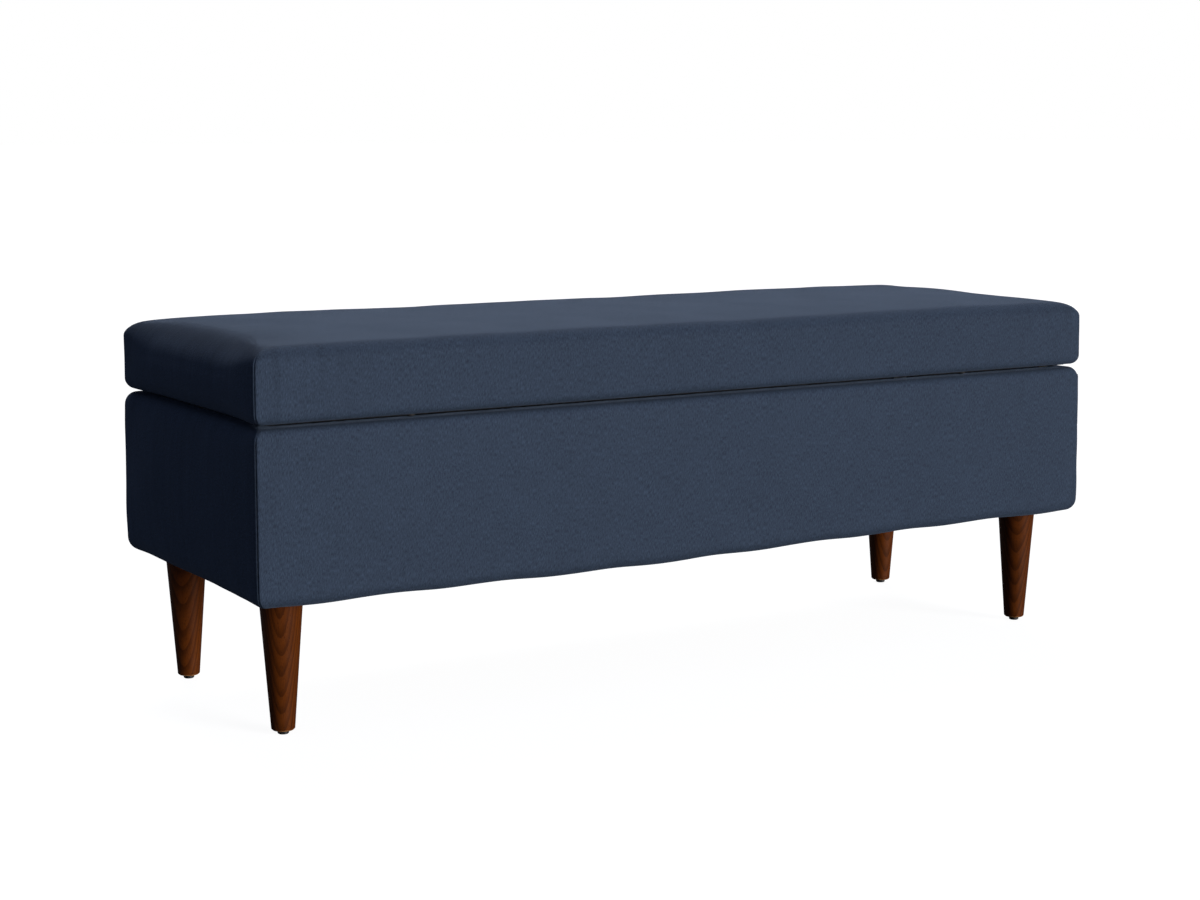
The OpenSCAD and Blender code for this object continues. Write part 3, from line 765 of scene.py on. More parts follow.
@dataclass
class SewnForm:
    """A sewn cover over a box of padding: rows round four faces that meet in seams, closed by fields."""

    half_x: float
    half_y: float
    rows: list[Row]
    low_corner: Corner
    top_corner: Corner
    turn_width: float = 55.0
    corner_long: float = 0.0  # how far the long faces' profile rules at the corners
    crown_height: float = 0.0
    hang: Hang = Hang()
    swell_long: float = 0.0
    swell_end: float = 0.0
    groove: float = 1.9
    groove_half: float = 1.0
    lip: float = 0.15
    lip_at: float = 5.0
    lip_half: float = 2.4
    top_closed: bool = True
    bottom_closed: bool = True

    def ticks(self, length: float, fine: bool) -> np.ndarray:
        """Divides a face, finer towards its seams.

        Args:
            length: The face's length.
            fine: Whether it is the final mesh; the simulated one is coarser.

        Returns:
            Shares of the length, from 0 to 1.
        """
        near = [0.0, 0.6, 1.2, 1.9, 2.8, 4.0, 5.4, 7.2, 9.5, 12.5, 16.0, 20.5, 26.0, 32.0] if fine \
            else [0.0, 8.0, 18.0, 30.0]
        step = 6.5 if fine else 13.0
        inner = length - 2.0 * near[-1]
        count = max(2, int(round(inner / step)))
        middle = near[-1] + inner * np.arange(1, count) / count
        return np.concatenate([near, middle, length - np.array(near[::-1])]) / length

    def sides(self, fine: bool) -> list[np.ndarray]:
        """Gives the ticks of the four faces in order."""
        long, short = self.ticks(2 * self.half_x, fine), self.ticks(2 * self.half_y, fine)
        return [long, short, long, short]

    def starts(self, fine: bool) -> np.ndarray:
        """Gives the place of each face's first point along a row, then the row's number of points."""
        return np.concatenate([[0], np.cumsum([len(t) - 1 for t in self.sides(fine)])])

    def rising(self, x: np.ndarray, y: np.ndarray) -> np.ndarray:
        """Gives the top's rise over a place."""
        over_y, over_x = 1.0 - (y / self.half_y) ** 2, 1.0 - (x / self.half_x) ** 6
        return self.crown_height * (np.clip(over_y, 0.0, 1.0) * np.clip(over_x, 0.0, 1.0))

    def line(self, row: Row, fine: bool) -> np.ndarray:
        """Draws one row.

        Args:
            row: The row.
            fine: Whether it is the final mesh.

        Returns:
            Its points, anticlockwise from the front left corner.
        """
        low, top, part = self.low_corner, self.top_corner, row.corner
        depth_long = blended(low.depth_long, top.depth_long, row.soft) * part
        depth_end = blended(low.depth_end, top.depth_end, row.soft) * part
        width_long = blended(low.width_long, top.width_long, row.soft)
        width_end = blended(low.width_end, top.width_end, row.soft)
        corner_inset = blended(row.inset_end, row.inset_long, self.corner_long)
        corner_z = blended(0.5 * (row.z_long + row.z_end), row.z_long, self.corner_long)
        reach_x, reach_y = self.half_x - corner_inset, self.half_y - row.inset_long
        out = []
        for side, share in zip(Side, self.sides(fine)):
            on_long = side in (Side.FRONT, Side.BACK)
            length = 2.0 * (reach_x - depth_end) if on_long else 2.0 * (reach_y - depth_long)
            along = share * length
            near = np.minimum(along, length - along)
            turned = smooth(near / self.turn_width)
            width, depth = (width_long, depth_long) if on_long else (width_end, depth_end)
            swell = (self.swell_long if on_long else self.swell_end) * row.swell
            pulled = (depth * np.clip(1.0 - near / width, 0.0, 1.0) ** 2
                      - swell * (1.0 - (2.0 * share - 1.0) ** 4))
            centred = along - 0.5 * length
            if on_long:
                sign = -1.0 if side is Side.FRONT else 1.0
                x, y = -sign * centred, sign * (reach_y - pulled)
                z = blended(corner_z, row.z_long, turned)
            else:
                sign = 1.0 if side is Side.RIGHT else -1.0
                inset = blended(corner_inset, row.inset_end, turned)
                x, y = sign * (self.half_x - inset - pulled), sign * centred
                z = blended(corner_z, row.z_end, turned)
            z = z + row.crown * self.rising(x, y)
            z = z - row.droop * self.hang.depth(x if on_long else sign * self.half_x)
            out.append(np.stack([x, y, z], 1)[:-1])
        return np.concatenate(out)

    def field(self, ring: np.ndarray, fine: bool, risen: bool) -> np.ndarray:
        """Fills a row with a smooth field.

        Args:
            ring: The row's points.
            fine: Whether it is the final mesh.
            risen: Whether the field carries the top's rise.

        Returns:
            Points by place across and along, front row first.
        """
        if risen:
            level = ring - np.stack([0 * ring[:, 0], 0 * ring[:, 0], self.rising(ring[:, 0], ring[:, 1])], 1)
            flat = self.field(level, fine, False)
            flat[..., 2] += self.rising(flat[..., 0], flat[..., 1])
            return flat
        across, along = self.sides(fine)[:2]
        front, back, left, right = edges_of(ring, len(along), len(across))
        u, v = across[None, :, None], along[:, None, None]
        return ((1 - v) * front[None] + v * back[None] + (1 - u) * left[:, None] + u * right[:, None]
                - (1 - u) * (1 - v) * front[0] - u * (1 - v) * front[-1]
                - (1 - u) * v * back[0] - u * v * back[-1])

    def skin(self, fine: bool) -> Skin:
        """Draws the whole form.

        Args:
            fine: Whether it is the final mesh.

        Returns:
            The form's points.
        """
        band = np.stack([self.line(row, fine) for row in self.rows])
        top = self.field(band[-1], fine, self.crown_height > 0.0) if self.top_closed else None
        bottom = self.field(band[0], fine, False) if self.bottom_closed else None
        return Skin(band, top, bottom)

    def normals(self, band: np.ndarray) -> np.ndarray:
        """Gives the outward direction at each point of a band, over a span wide enough for crowded points."""
        along = np.roll(band, -4, 1) - np.roll(band, 4, 1)
        up = np.gradient(band, axis=0)
        out = np.cross(along, up)
        return out / np.maximum(np.linalg.norm(out, axis=2, keepdims=True), 1e-9)

    def from_seam(self, band: np.ndarray) -> np.ndarray:
        """Gives each point's distance to the nearest corner seam along its row."""
        starts = self.starts(True)
        closed = np.concatenate([band, band[:, :1]], 1)
        out = []
        for i in range(4):
            run = lengths(closed[:, starts[i]:starts[i + 1] + 1], 1)
            out.append(np.minimum(run, run[:, -1:] - run)[:, :-1])
        return np.concatenate(out, 1)

    def sew(self, skin: Skin) -> None:
        """Sinks the seams into the final surface, each with a low lip beside it."""
        near = self.from_seam(skin.band)
        deep = np.array([row.seam for row in self.rows])[:, None]
        lip = self.lip * np.exp(-((near - self.lip_at) / self.lip_half) ** 2)
        sunk = -self.groove * np.exp(-(near / self.groove_half) ** 2) + lip
        skin.band += self.normals(skin.band) * (sunk * deep)[..., None]

    def faces(self, rows: int, fine: bool) -> tuple[np.ndarray, list[np.ndarray], int]:
        """Numbers the faces: the band's, then the top's and the bottom's.

        Args:
            rows: How many rows the band has.
            fine: Whether it is the final mesh.

        Returns:
            All faces, the number grids of the fields, and the number of points.
        """
        sides = self.sides(fine)
        across, along = len(sides[0]), len(sides[1])
        ring = 2 * (across - 1) + 2 * (along - 1)
        grid = np.arange(rows * ring).reshape(rows, ring)
        after = np.roll(grid, -1, 1)
        quads = [np.stack([grid[:-1], after[:-1], after[1:], grid[1:]], 2).reshape(-1, 4)]
        fields, count = [], rows * ring
        for closed, row, upward in ((self.top_closed, rows - 1, True), (self.bottom_closed, 0, False)):
            if not closed:
                continue
            number = np.zeros((along, across), int)
            number[0], number[-1], number[:, 0], number[:, -1] = edges_of(grid[row], along, across)
            inner = (along - 2) * (across - 2)
            number[1:-1, 1:-1] = count + np.arange(inner).reshape(along - 2, across - 2)
            count += inner
            field = cells(number).reshape(-1, 4)
            quads.append(field if upward else field[:, ::-1])
            fields.append(number)
        return np.concatenate(quads), fields, count

    def points(self, skin: Skin) -> np.ndarray:
        """Lists all points in the order that faces() numbers them."""
        parts = [skin.band.reshape(-1, 3)]
        for held in (skin.top, skin.bottom):
            if held is not None:
                parts.append(held[1:-1, 1:-1].reshape(-1, 3))
        return np.concatenate(parts)

    def coordinates(self, skin: Skin) -> tuple[np.ndarray, np.ndarray]:
        """Lays the cover out flat, as a cross round its top, in metres.

        Args:
            skin: The final surface.

        Returns:
            The maps thread and fall, one pair of numbers for each face corner.
        """
        starts, apart = self.starts(True), 3000.0
        closed = np.concatenate([skin.band, skin.band[:, :1]], 1)
        arc = lengths(closed, 0)
        down = arc[-1][None] - arc
        thread, fall = [], []
        for i, side in enumerate(Side):
            cut = slice(starts[i], starts[i + 1] + 1)
            x, y, drop = closed[:, cut, 0], closed[:, cut, 1], down[:, cut]
            edge = closed[-1:, cut]
            if side in (Side.FRONT, Side.BACK):
                across = x
                sign = -1.0 if side is Side.FRONT else 1.0
                pair = np.stack([x, edge[..., 1] + sign * drop], 2)
            else:
                across = y
                sign = 1.0 if side is Side.RIGHT else -1.0
                pair = np.stack([edge[..., 0] + sign * drop, y], 2)
            lying = np.stack([across + apart * i, drop], 2)
            for flat, store in ((pair, thread), (lying, fall)):
                store.append(cells(flat))
        thread = [np.concatenate(thread, 1).reshape(-1, 2)]
        fall = [np.concatenate(fall, 1).reshape(-1, 2)]
        for held, upward in ((skin.top, True), (skin.bottom, False)):
            if held is None:
                continue
            to_end = self.half_x - np.abs(held[..., 0])
            turned = np.stack([held[..., 1] + apart * Side.LEFT.value, -to_end], 2)
            for values, store in ((held[..., :2], thread), (turned, fall)):
                corners = cells(values)
                store.append((corners if upward else corners[:, :, ::-1]).reshape(-1, 2))
        return np.concatenate(thread) * MM, np.concatenate(fall) * MM


def placed(name: str, data: bpy.types.ID) -> bpy.types.Object:
    """Makes an object of a mesh, light or camera and puts it in the scene.

    Args:
        name: Its name.
        data: What it holds.

    Returns:
        The new object, at the origin.
    """
    made = bpy.data.objects.new(name, data)
    bpy.context.scene.collection.objects.link(made)
    return made


def piece(name: str, points: np.ndarray, faces: np.ndarray, material: bpy.types.Material) -> bpy.types.Object:
    """Makes a mesh piece, smooth all over.

    Args:
        name: The piece's name.
        points: Its points in metres.
        faces: Its faces.
        material: Its finish.

    Returns:
        The new object, at the origin.
    """
    mesh = bpy.data.meshes.new(name)
    mesh.from_pydata(points.tolist(), [], faces.tolist())
    mesh.polygons.foreach_set("use_smooth", [True] * len(mesh.polygons))
    mesh.materials.append(material)
    mesh.validate(clean_customdata=False)
    return placed(name, mesh)


def lay_maps(made: bpy.types.Object, **maps: np.ndarray) -> None:
    """Gives a mesh its UV maps.

    Args:
        made: The piece.
        maps: For each map, a pair for every face corner.
    """
    for name, values in maps.items():
        layer = made.data.uv_layers.new(name=name)
        layer.uv.foreach_set("vector", values.astype(np.float32).ravel())


def mark(made: bpy.types.Object, name: str, values: np.ndarray) -> None:
    """Gives a mesh a value at each point."""
    made.data.attributes.new(name, "FLOAT", "POINT").data.foreach_set("value", values.astype(np.float32))


def thicken(made: bpy.types.Object, thick: float, offset: float) -> None:
    """Gives a cloth its thickness in millimetres, behind its face at offset -1 and before it at 1."""
    wall = made.modifiers.new("cloth_thickness", "SOLIDIFY")
    wall.thickness, wall.offset = thick * MM, offset


@dataclass(frozen=True)
class Stuffing:
    """How a cover fills out over its padding when it is simulated."""

    pressure: float
    reach: float         # the farthest a point moves, in millimetres
    surplus: float = 0.0  # the share by which the cloth is cut larger
    frames: int = 20

    def settle(self, form: SewnForm, held: np.ndarray, skin: Skin) -> np.ndarray:
        """Fills the coarse cover out with Blender's cloth.

        Args:
            form: The form.
            held: For each point, 1 where it is fixed.
            skin: The coarse surface.

        Returns:
            How far each point moves, in millimetres.
        """
        start = form.points(skin)
        faces, _, _ = form.faces(len(skin.band), False)
        mesh = bpy.data.meshes.new("settling")
        mesh.from_pydata((start * MM).tolist(), [], faces.tolist())
        made = placed("settling", mesh)
        scene = bpy.context.scene
        pins = made.vertex_groups.new(name="held")
        for weight in np.unique(np.round(held, 1)):
            if weight > 0.0:
                pins.add(np.nonzero(np.round(held, 1) == weight)[0].tolist(), float(weight), "REPLACE")
        cloth = made.modifiers.new("cloth", "CLOTH")
        made_of = cloth.settings
        made_of.quality = 6
        made_of.mass = 0.3
        made_of.tension_stiffness = made_of.compression_stiffness = 18.0
        made_of.shear_stiffness = 8.0
        made_of.bending_stiffness = 3.0
        made_of.use_pressure = True
        made_of.uniform_pressure_force = self.pressure
        made_of.shrink_min = -self.surplus
        made_of.vertex_group_mass = "held"
        made_of.effector_weights.gravity = 0.0
        cloth.collision_settings.use_collision = False
        cloth.point_cache.frame_start, cloth.point_cache.frame_end = 1, self.frames
        for number in range(1, self.frames + 1):
            scene.frame_set(number)
        settled = made.evaluated_get(bpy.context.evaluated_depsgraph_get())
        moved = np.zeros(len(start) * 3, np.float32)
        settled.data.vertices.foreach_get("co", moved)
        shift = moved.reshape(-1, 3) / MM - start
        made.modifiers.remove(cloth)
        bpy.data.objects.remove(made)
        bpy.data.meshes.remove(mesh)
        scene.frame_set(1)
        far = np.linalg.norm(shift, axis=1, keepdims=True)
        return shift * np.tanh(far / self.reach) * self.reach / np.maximum(far, 1e-6)


def resampled(values: np.ndarray, rows_from: np.ndarray, cols_from: np.ndarray, rows_to: np.ndarray,
              cols_to: np.ndarray, passes: int = 5) -> np.ndarray:
    """Carries a field of moves from a coarse grid to a fine one, smoothed and still at its long edges.

    Args:
        values: The moves by row and column.
        rows_from: The coarse rows' places.
        cols_from: The coarse columns' places.
        rows_to: The fine rows' places.
        cols_to: The fine columns' places.
        passes: How often it is smoothed.

    Returns:
        The moves on the fine grid.
    """
    def carried(data: np.ndarray, old: np.ndarray, new: np.ndarray) -> np.ndarray:
        """Interpolates along the first axis."""
        index = np.clip(np.searchsorted(old, new) - 1, 0, len(old) - 2)
        share = ((new - old[index]) / (old[index + 1] - old[index])).reshape(-1, *[1] * (data.ndim - 1))
        return data[index] * (1 - share) + data[index + 1] * share

    fine = carried(values, rows_from, rows_to)
    fine = carried(fine.swapaxes(0, 1), cols_from, cols_to).swapaxes(0, 1)
    for _ in range(passes):
        padded = np.pad(fine, ((1, 1), (0, 0), (0, 0)), "edge")
        fine = 0.25 * padded[:-2] + 0.5 * fine + 0.25 * padded[2:]
        fine[:, 1:-1] = 0.25 * fine[:, :-2] + 0.5 * fine[:, 1:-1] + 0.25 * fine[:, 2:]
    return fine


def evened(moves: np.ndarray, faces: np.ndarray, passes: int) -> np.ndarray:
    """Averages moves with their neighbours', so that no crease shows where two grids meet.

    Args:
        moves: The move of each point.
        faces: The four-sided faces over the points.
        passes: How often they are averaged.

    Returns:
        The averaged moves.
    """
    pairs = np.concatenate([faces[:, [k, (k + 1) % 4]] for k in range(4)])
    near = np.bincount(pairs.ravel(), minlength=len(moves))[:, None]
    for _ in range(passes):
        total = np.stack([np.bincount(pairs[:, 0], moves[pairs[:, 1], k], len(moves))
                          + np.bincount(pairs[:, 1], moves[pairs[:, 0], k], len(moves)) for k in range(3)], 1)
        moves = 0.4 * moves + 0.6 * total / near
    return moves


@dataclass
class Upholstery:
    """A sewn cover over its padding: formed, filled out, seamed and dressed."""

    name: str
    form: SewnForm
    stuffing: Stuffing
    cloth: bpy.types.Material
    seed: int
    uneven: float = 0.5
    # painted shade in the corner seams: how dark it is, and its half width in millimetres
    seam_painted_shade: float = 2.2
    seam_painted_shade_half: float = 1.3

    def held_points(self) -> np.ndarray:
        """Says how firmly each coarse point is fixed.

        Returns:
            A value from 0 to 1 for each coarse point.
        """
        starts, rows = self.form.starts(False), self.form.rows[::2]
        band = np.tile(np.array([row.held for row in rows])[:, None], (1, starts[-1]))
        for i, row in enumerate(rows):
            if row.seam > 0.3:
                band[i, starts[:-1]] = 1.0
        across, along = (len(t) for t in self.form.sides(False)[:2])
        inner = (across - 2) * (along - 2)
        top = np.zeros(inner) if self.form.crown_height > 0.0 else np.ones(inner)
        return np.concatenate([band.ravel(), top, np.ones(inner)])

    def filled(self, skin: Skin) -> None:
        """Moves the final surface by what the simulation gives."""
        coarse_form = replace(self.form, rows=self.form.rows[::2], top_closed=True, bottom_closed=True)
        coarse = coarse_form.skin(False)
        shift = self.stuffing.settle(coarse_form, self.held_points(), coarse)
        rows, ring = coarse.band.shape[:2]
        coarse_faces, coarse_fields, _ = coarse_form.faces(rows, False)
        shift = evened(shift, coarse_faces, 16)
        band = shift[:rows * ring].reshape(rows, ring, 3)
        coarse_rows = 2.0 * np.arange(rows)
        fine_rows = np.minimum(np.arange(len(self.form.rows), dtype=float), coarse_rows[-1])
        before, out, start = self.form.points(skin).copy(), [], 0
        coarse_sides, fine_sides = self.form.sides(False), self.form.sides(True)
        for old, new in zip(coarse_sides, fine_sides):
            part = band[:, np.arange(start, start + len(old)) % ring]
            out.append(resampled(part, coarse_rows, old, fine_rows, new)[:, :-1])
            start += len(old) - 1
        skin.band += np.concatenate(out, 1)
        if self.form.crown_height > 0.0:
            skin.top += resampled(shift[coarse_fields[0]], coarse_sides[1], coarse_sides[0],
                                  fine_sides[1], fine_sides[0])
        faces, fields, _ = self.form.faces(len(skin.band), True)
        points = before + evened(self.form.points(skin) - before, faces, 40)
        skin.band[:] = points[:skin.band.size // 3].reshape(skin.band.shape)
        if self.form.crown_height > 0.0:
            skin.top[:] = points[fields[0]]

    def uneven_parts(self, skin: Skin) -> None:
        """Adds the slow unevenness of hand-laid padding."""
        free = np.array([1.0 - row.held for row in self.form.rows])[:, None]
        skin.band += self.form.normals(skin.band) * (self.waves(skin.band) * free * self.uneven)[..., None]
        if skin.top is not None:
            top = skin.top
            top[..., 2] += self.waves(top) * self.uneven
            top[0], top[-1], top[:, 0], top[:, -1] = edges_of(skin.band[-1], *top.shape[:2])

    def waves(self, points: np.ndarray) -> np.ndarray:
        """Gives long waves with shorter ones over them."""
        return ripple(points, self.seed, 190.0) + 0.45 * ripple(points, self.seed + 1, 70.0)

    def make(self) -> bpy.types.Object:
        """Makes the piece.

        Returns:
            The new object, not yet on a body.
        """
        skin = self.form.skin(True)
        self.filled(skin)
        self.uneven_parts(skin)
        self.form.sew(skin)
        faces, _, _ = self.form.faces(len(skin.band), True)
        points = self.form.points(skin)
        made = piece(self.name, points * MM, faces, self.cloth)
        thread, fall = self.form.coordinates(skin)
        lay_maps(made, thread=thread, fall=fall)
        mark(made, "pull", self.pull(points))
        # painted shade, which darkens the cloth's colour
        mark(made, "painted_shade", self.painted_shade(points))
        return made

    def painted_shade(self, points: np.ndarray) -> np.ndarray:
        """Gives the painted shade that darkens the cloth: in the corner seams, and, in each cover's own
        version, along its edges.

        Args:
            points: The points in millimetres.

        Returns:
            0 where none is painted, about 1 on a painted dark edge, and more in a seam.
        """
        corner = self.form.low_corner
        along_x = np.abs(points[:, 0]) - self.form.half_x + corner.depth_end
        along_y = np.abs(points[:, 1]) - self.form.half_y + corner.depth_long
        return self.seam_painted_shade * np.exp(-(np.hypot(along_x, along_y) / self.seam_painted_shade_half) ** 2)

    def pull(self, points: np.ndarray) -> np.ndarray:
        """Says how strongly the cloth is drawn at each point; each cover has its own."""
        raise NotImplementedError


# ---------- Lid and box covers ----------


def quarter(count: int) -> Iterator[tuple[float, float, float]]:
    """Steps through a quarter turn, giving each angle, its sine and one less its cosine."""
    for number in range(count):
        angle = number / (count - 1) * math.pi / 2
        yield angle, math.sin(angle), 1 - math.cos(angle)


@dataclass
class LidUpholstery(Upholstery):
    """The lid's cover over its wadding and foam: soft crowned top, full ends, flaps under the board."""

    low_z: float = 372.0
    edge_z: float = 450.0
    pulled_from_z: float = 405.0

    def pull(self, points: np.ndarray) -> np.ndarray:
        """Draws the cloth hardest over the ends' top edges.

        Args:
            points: The points in millimetres.

        Returns:
            A value from 0 to 1 for each.
        """
        x, y, z = np.abs(points[:, 0]), np.abs(points[:, 1]), points[:, 2]
        over_end = smooth((x - (self.form.half_x - 130.0)) / 90.0)
        high = 0.45 + 0.55 * smooth((z - self.pulled_from_z) / 45.0)
        by_long = smooth((y - (self.form.half_y - 40.0)) / 30.0)
        by_top = smooth((z - self.pulled_from_z - 15.0) / 25.0)
        return np.clip(over_end * high + 0.16 * (by_long * by_top) + 0.05, 0.0, 1.0)

    def painted_shade(self, points: np.ndarray) -> np.ndarray:
        """Paints shade on the top's ends, along the line under the long top edges and on the lower edge.

        Args:
            points: The points in millimetres.

        Returns:
            How dark each is, as in Upholstery.
        """
        x, y, z = np.abs(points[:, 0]), np.abs(points[:, 1]), points[:, 2]
        faces = smooth((y - (self.form.half_y - 16.0)) / 8.0)
        over = smooth((x - (self.form.half_x - 190.0)) / 170.0) * smooth((z - self.edge_z + 10.0) / 15.0)
        edge, low = np.exp(-((z - self.edge_z) / 6.0) ** 2), 1 - smooth((z - self.low_z) / 10.0)
        return faces * (0.5 * edge + 1.2 * low) + 0.9 * over * (1 - 0.6 * faces) + super().painted_shade(points)


@dataclass
class BoxUpholstery(Upholstery):
    """The box's covers over their padding: from the hem, up, over the rim and down inside."""

    low_z: float = 160.0
    rim_z: float = 361.0

    def pull(self, points: np.ndarray) -> np.ndarray:
        """Draws the cloth evenly down the ends, and a little along the front's edges.

        Args:
            points: The points in millimetres.

        Returns:
            A value from 0 to 1 for each.
        """
        x, z = np.abs(points[:, 0]), points[:, 2]
        over_end = smooth((x - (self.form.half_x - 30.0)) / 14.0)
        edges = smooth((215.0 - z) / 40.0) + smooth((z - 335.0) / 25.0)
        return np.clip(0.5 * over_end + 0.14 * edges + 0.06, 0.0, 1.0)

    def painted_shade(self, points: np.ndarray) -> np.ndarray:
        """Paints shade on the lower edge and on the rim, in the gap under the lid.

        Args:
            points: The points in millimetres.

        Returns:
            How dark each is, as in Upholstery.
        """
        z = points[:, 2]
        low, rim = 1 - smooth((z - self.low_z) / 24.0), smooth((z - self.rim_z) / 7.0)
        return 0.8 * low + 1.2 * rim + smooth((z - self.rim_z - 5.0) / 3.0) + super().painted_shade(points)


TIGHT = Corner(0.6, 4.0, 0.8, 8.0)            # a corner drawn tight by its seam
UNDER = tuple(k / 3 * 0.9 for k in range(4))  # where the rows under a board lie, from flap to edge


@dataclass
class LidCover:
    """Sizes of the lid's cover, in millimetres, and its making."""

    cloth: bpy.types.Material
    half_x: float = 622.5
    half_y: float = 216.0
    under_z: float = 372.9
    side_top_z: float = 460.0
    flap: float = 30.0
    low_long: tuple[float, float] = (9.0, 12.0)
    low_end: tuple[float, float] = (17.0, 26.0)
    top_long: tuple[float, float] = (17.0, 17.0)
    top_end: tuple[float, float] = (44.0, 36.0)
    seam_top_z: float = 446.0
    seam_fade: float = 9.0

    def rows(self) -> list[Row]:
        """Lists the rows from the flap's edge to the top's edge."""
        rows = []
        for t in UNDER:
            z = self.under_z + 0.5 * (1 - t)
            rows.append(Row(blended(self.flap, self.low_long[0], t), z,
                            blended(self.flap, self.low_end[0], t), z, seam=0.0, held=1.0))
        for angle, sine, rise in quarter(9):
            rows.append(Row(self.low_long[0] * (1 - sine), self.under_z + self.low_long[1] * rise,
                            self.low_end[0] * (1 - sine), self.under_z + self.low_end[1] * rise,
                            seam=float(smooth(angle)), swell=float(smooth(angle / 1.6)) * 0.6,
                            held=float(1 - smooth(angle / 0.9))))
        low_l, low_e = self.under_z + self.low_long[1], self.under_z + self.low_end[1]
        top_l, top_e = self.side_top_z - self.top_long[1], self.side_top_z - self.top_end[1]
        for k in range(1, 8):
            t = k / 8
            z = blended(low_l, top_l, t)
            rows.append(Row(0.0, z, 0.0, blended(low_e, top_e, t), swell=0.6 + 0.4 * math.sin(math.pi * t),
                            seam=self.seam_at(z)))
        for angle, sine, inward in quarter(13):
            z = top_l + self.top_long[1] * sine
            rows.append(Row(self.top_long[0] * inward, z,
                            self.top_end[0] * inward, top_e + self.top_end[1] * sine,
                            seam=self.seam_at(z), soft=sine ** 1.5, crown=sine ** 2,
                            swell=0.6 * (1 - float(smooth(angle / 1.5)))))
        return rows

    def seam_at(self, z: float) -> float:
        """Gives how deep the corner seams lie at a height: they fade out below the top."""
        return float(1 - smooth((z - self.seam_top_z) / self.seam_fade))

    def build(self) -> bpy.types.Object:
        """Makes the piece and hangs it on the lid.

        Returns:
            The new object.
        """
        form = SewnForm(self.half_x, self.half_y, self.rows(), TIGHT, Corner(4.0, 18.0, 6.0, 28.0),
                        turn_width=110.0, corner_long=0.8, crown_height=8.0, swell_long=0.5, swell_end=3.4)
        made = LidUpholstery("lid_upholstery", form, Stuffing(3.0, 1.5, 0.004), self.cloth, 11).make()
        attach(made, "lid")
        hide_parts("lid_cover", "lid_foam", "lid_wadding")
        return made


@dataclass
class BoxCover:
    """Sizes of the box's cover, in millimetres, and its making."""

    cloth: bpy.types.Material
    half_x: float = 622.5
    half_y: float = 216.0
    under_z: float = 165.8
    rim_z: float = 369.0
    hem: float = 25.0
    low_long: tuple[float, float] = (10.0, 12.0)
    low_end: tuple[float, float] = (14.0, 26.0)
    top_long: tuple[float, float] = (10.0, 12.0)
    top_end: tuple[float, float] = (16.0, 30.0)
    inner_long: float = 27.4
    inner_end: float = 31.4
    inner_r: float = 2.0
    inner_z: float = 344.0
    droop_reach: float = 60.0
    thick: float = 1.2
    hang: Hang = Hang(fold=2.6, sag=4.2, sag_at=-90.0, sag_reach=300.0, scallop=0.9)

    def rows(self) -> list[Row]:
        """Lists the rows from the hem, up and over the rim, to the edge inside."""
        rows = []
        for t in UNDER:
            rows.append(Row(blended(self.hem, self.low_long[0], t), self.under_z,
                            blended(self.hem, self.low_end[0], t), self.under_z, seam=0.0, droop=t * t,
                            held=1.0 - 0.5 * t * t))
        for angle, sine, rise in quarter(9):
            rows.append(Row(self.low_long[0] * (1 - sine), self.under_z + self.low_long[1] * rise,
                            self.low_end[0] * (1 - sine), self.under_z + self.low_end[1] * rise,
                            seam=float(smooth(angle)), droop=1.0, held=0.5 * float(1 - smooth(angle)),
                            swell=float(smooth(angle / 1.6)) * 0.3))
        low_l, low_e = self.under_z + self.low_long[1], self.under_z + self.low_end[1]
        top_l, top_e = self.rim_z - self.top_long[1], self.rim_z - self.top_end[1]
        for k in range(1, 24):
            t = k / 24
            z = blended(low_l, top_l, t)
            rows.append(Row(0.0, z, 0.0, blended(low_e, top_e, t), swell=0.3 + 0.7 * math.sin(math.pi * t),
                            droop=float(1 - smooth((z - low_l) / self.droop_reach))))
        for angle, sine, inward in quarter(9):
            rows.append(Row(self.top_long[0] * inward, top_l + self.top_long[1] * sine,
                            self.top_end[0] * inward, top_e + self.top_end[1] * sine,
                            seam=1.0 - 0.8 * sine, swell=0.3 * (1 - sine), held=float(smooth(angle - 0.5))))
        for k in range(1, 4):
            t = k / 4
            rows.append(Row(blended(self.top_long[0], self.inner_long - self.inner_r, t), self.rim_z,
                            blended(self.top_end[0], self.inner_end - self.inner_r, t), self.rim_z,
                            corner=1 - t, seam=0.2 * (1 - t), held=1.0))
        for _, sine, fall in quarter(4):
            inward, z = self.inner_r * (1 - sine), self.rim_z - self.inner_r * fall
            rows.append(Row(self.inner_long - inward, z, self.inner_end - inward, z,
                            corner=0.0, seam=0.0, held=1.0))
        for k in range(1, 4):
            z = blended(self.rim_z - self.inner_r, self.inner_z, k / 3)
            rows.append(Row(self.inner_long, z, self.inner_end, z, corner=0.0, seam=0.0, held=1.0))
        return rows

    def build(self) -> bpy.types.Object:
        """Makes the piece and sets it on the box.

        Returns:
            The new object.
        """
        form = SewnForm(self.half_x, self.half_y, self.rows(), TIGHT, TIGHT, corner_long=0.5, hang=self.hang,
                        swell_long=1.0, swell_end=4.0, top_closed=False, bottom_closed=False)
        made = BoxUpholstery("box_upholstery", form, Stuffing(2.0, 2.6, 0.003), self.cloth, 23, 0.6).make()
        thicken(made, self.thick, -1.0)
        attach(made, "base")
        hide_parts("cover_front", "cover_back", "cover_left", "cover_right", "front_padding",
                    "back_padding", "left_padding", "right_padding")
        return made


# ---------- Linings ----------


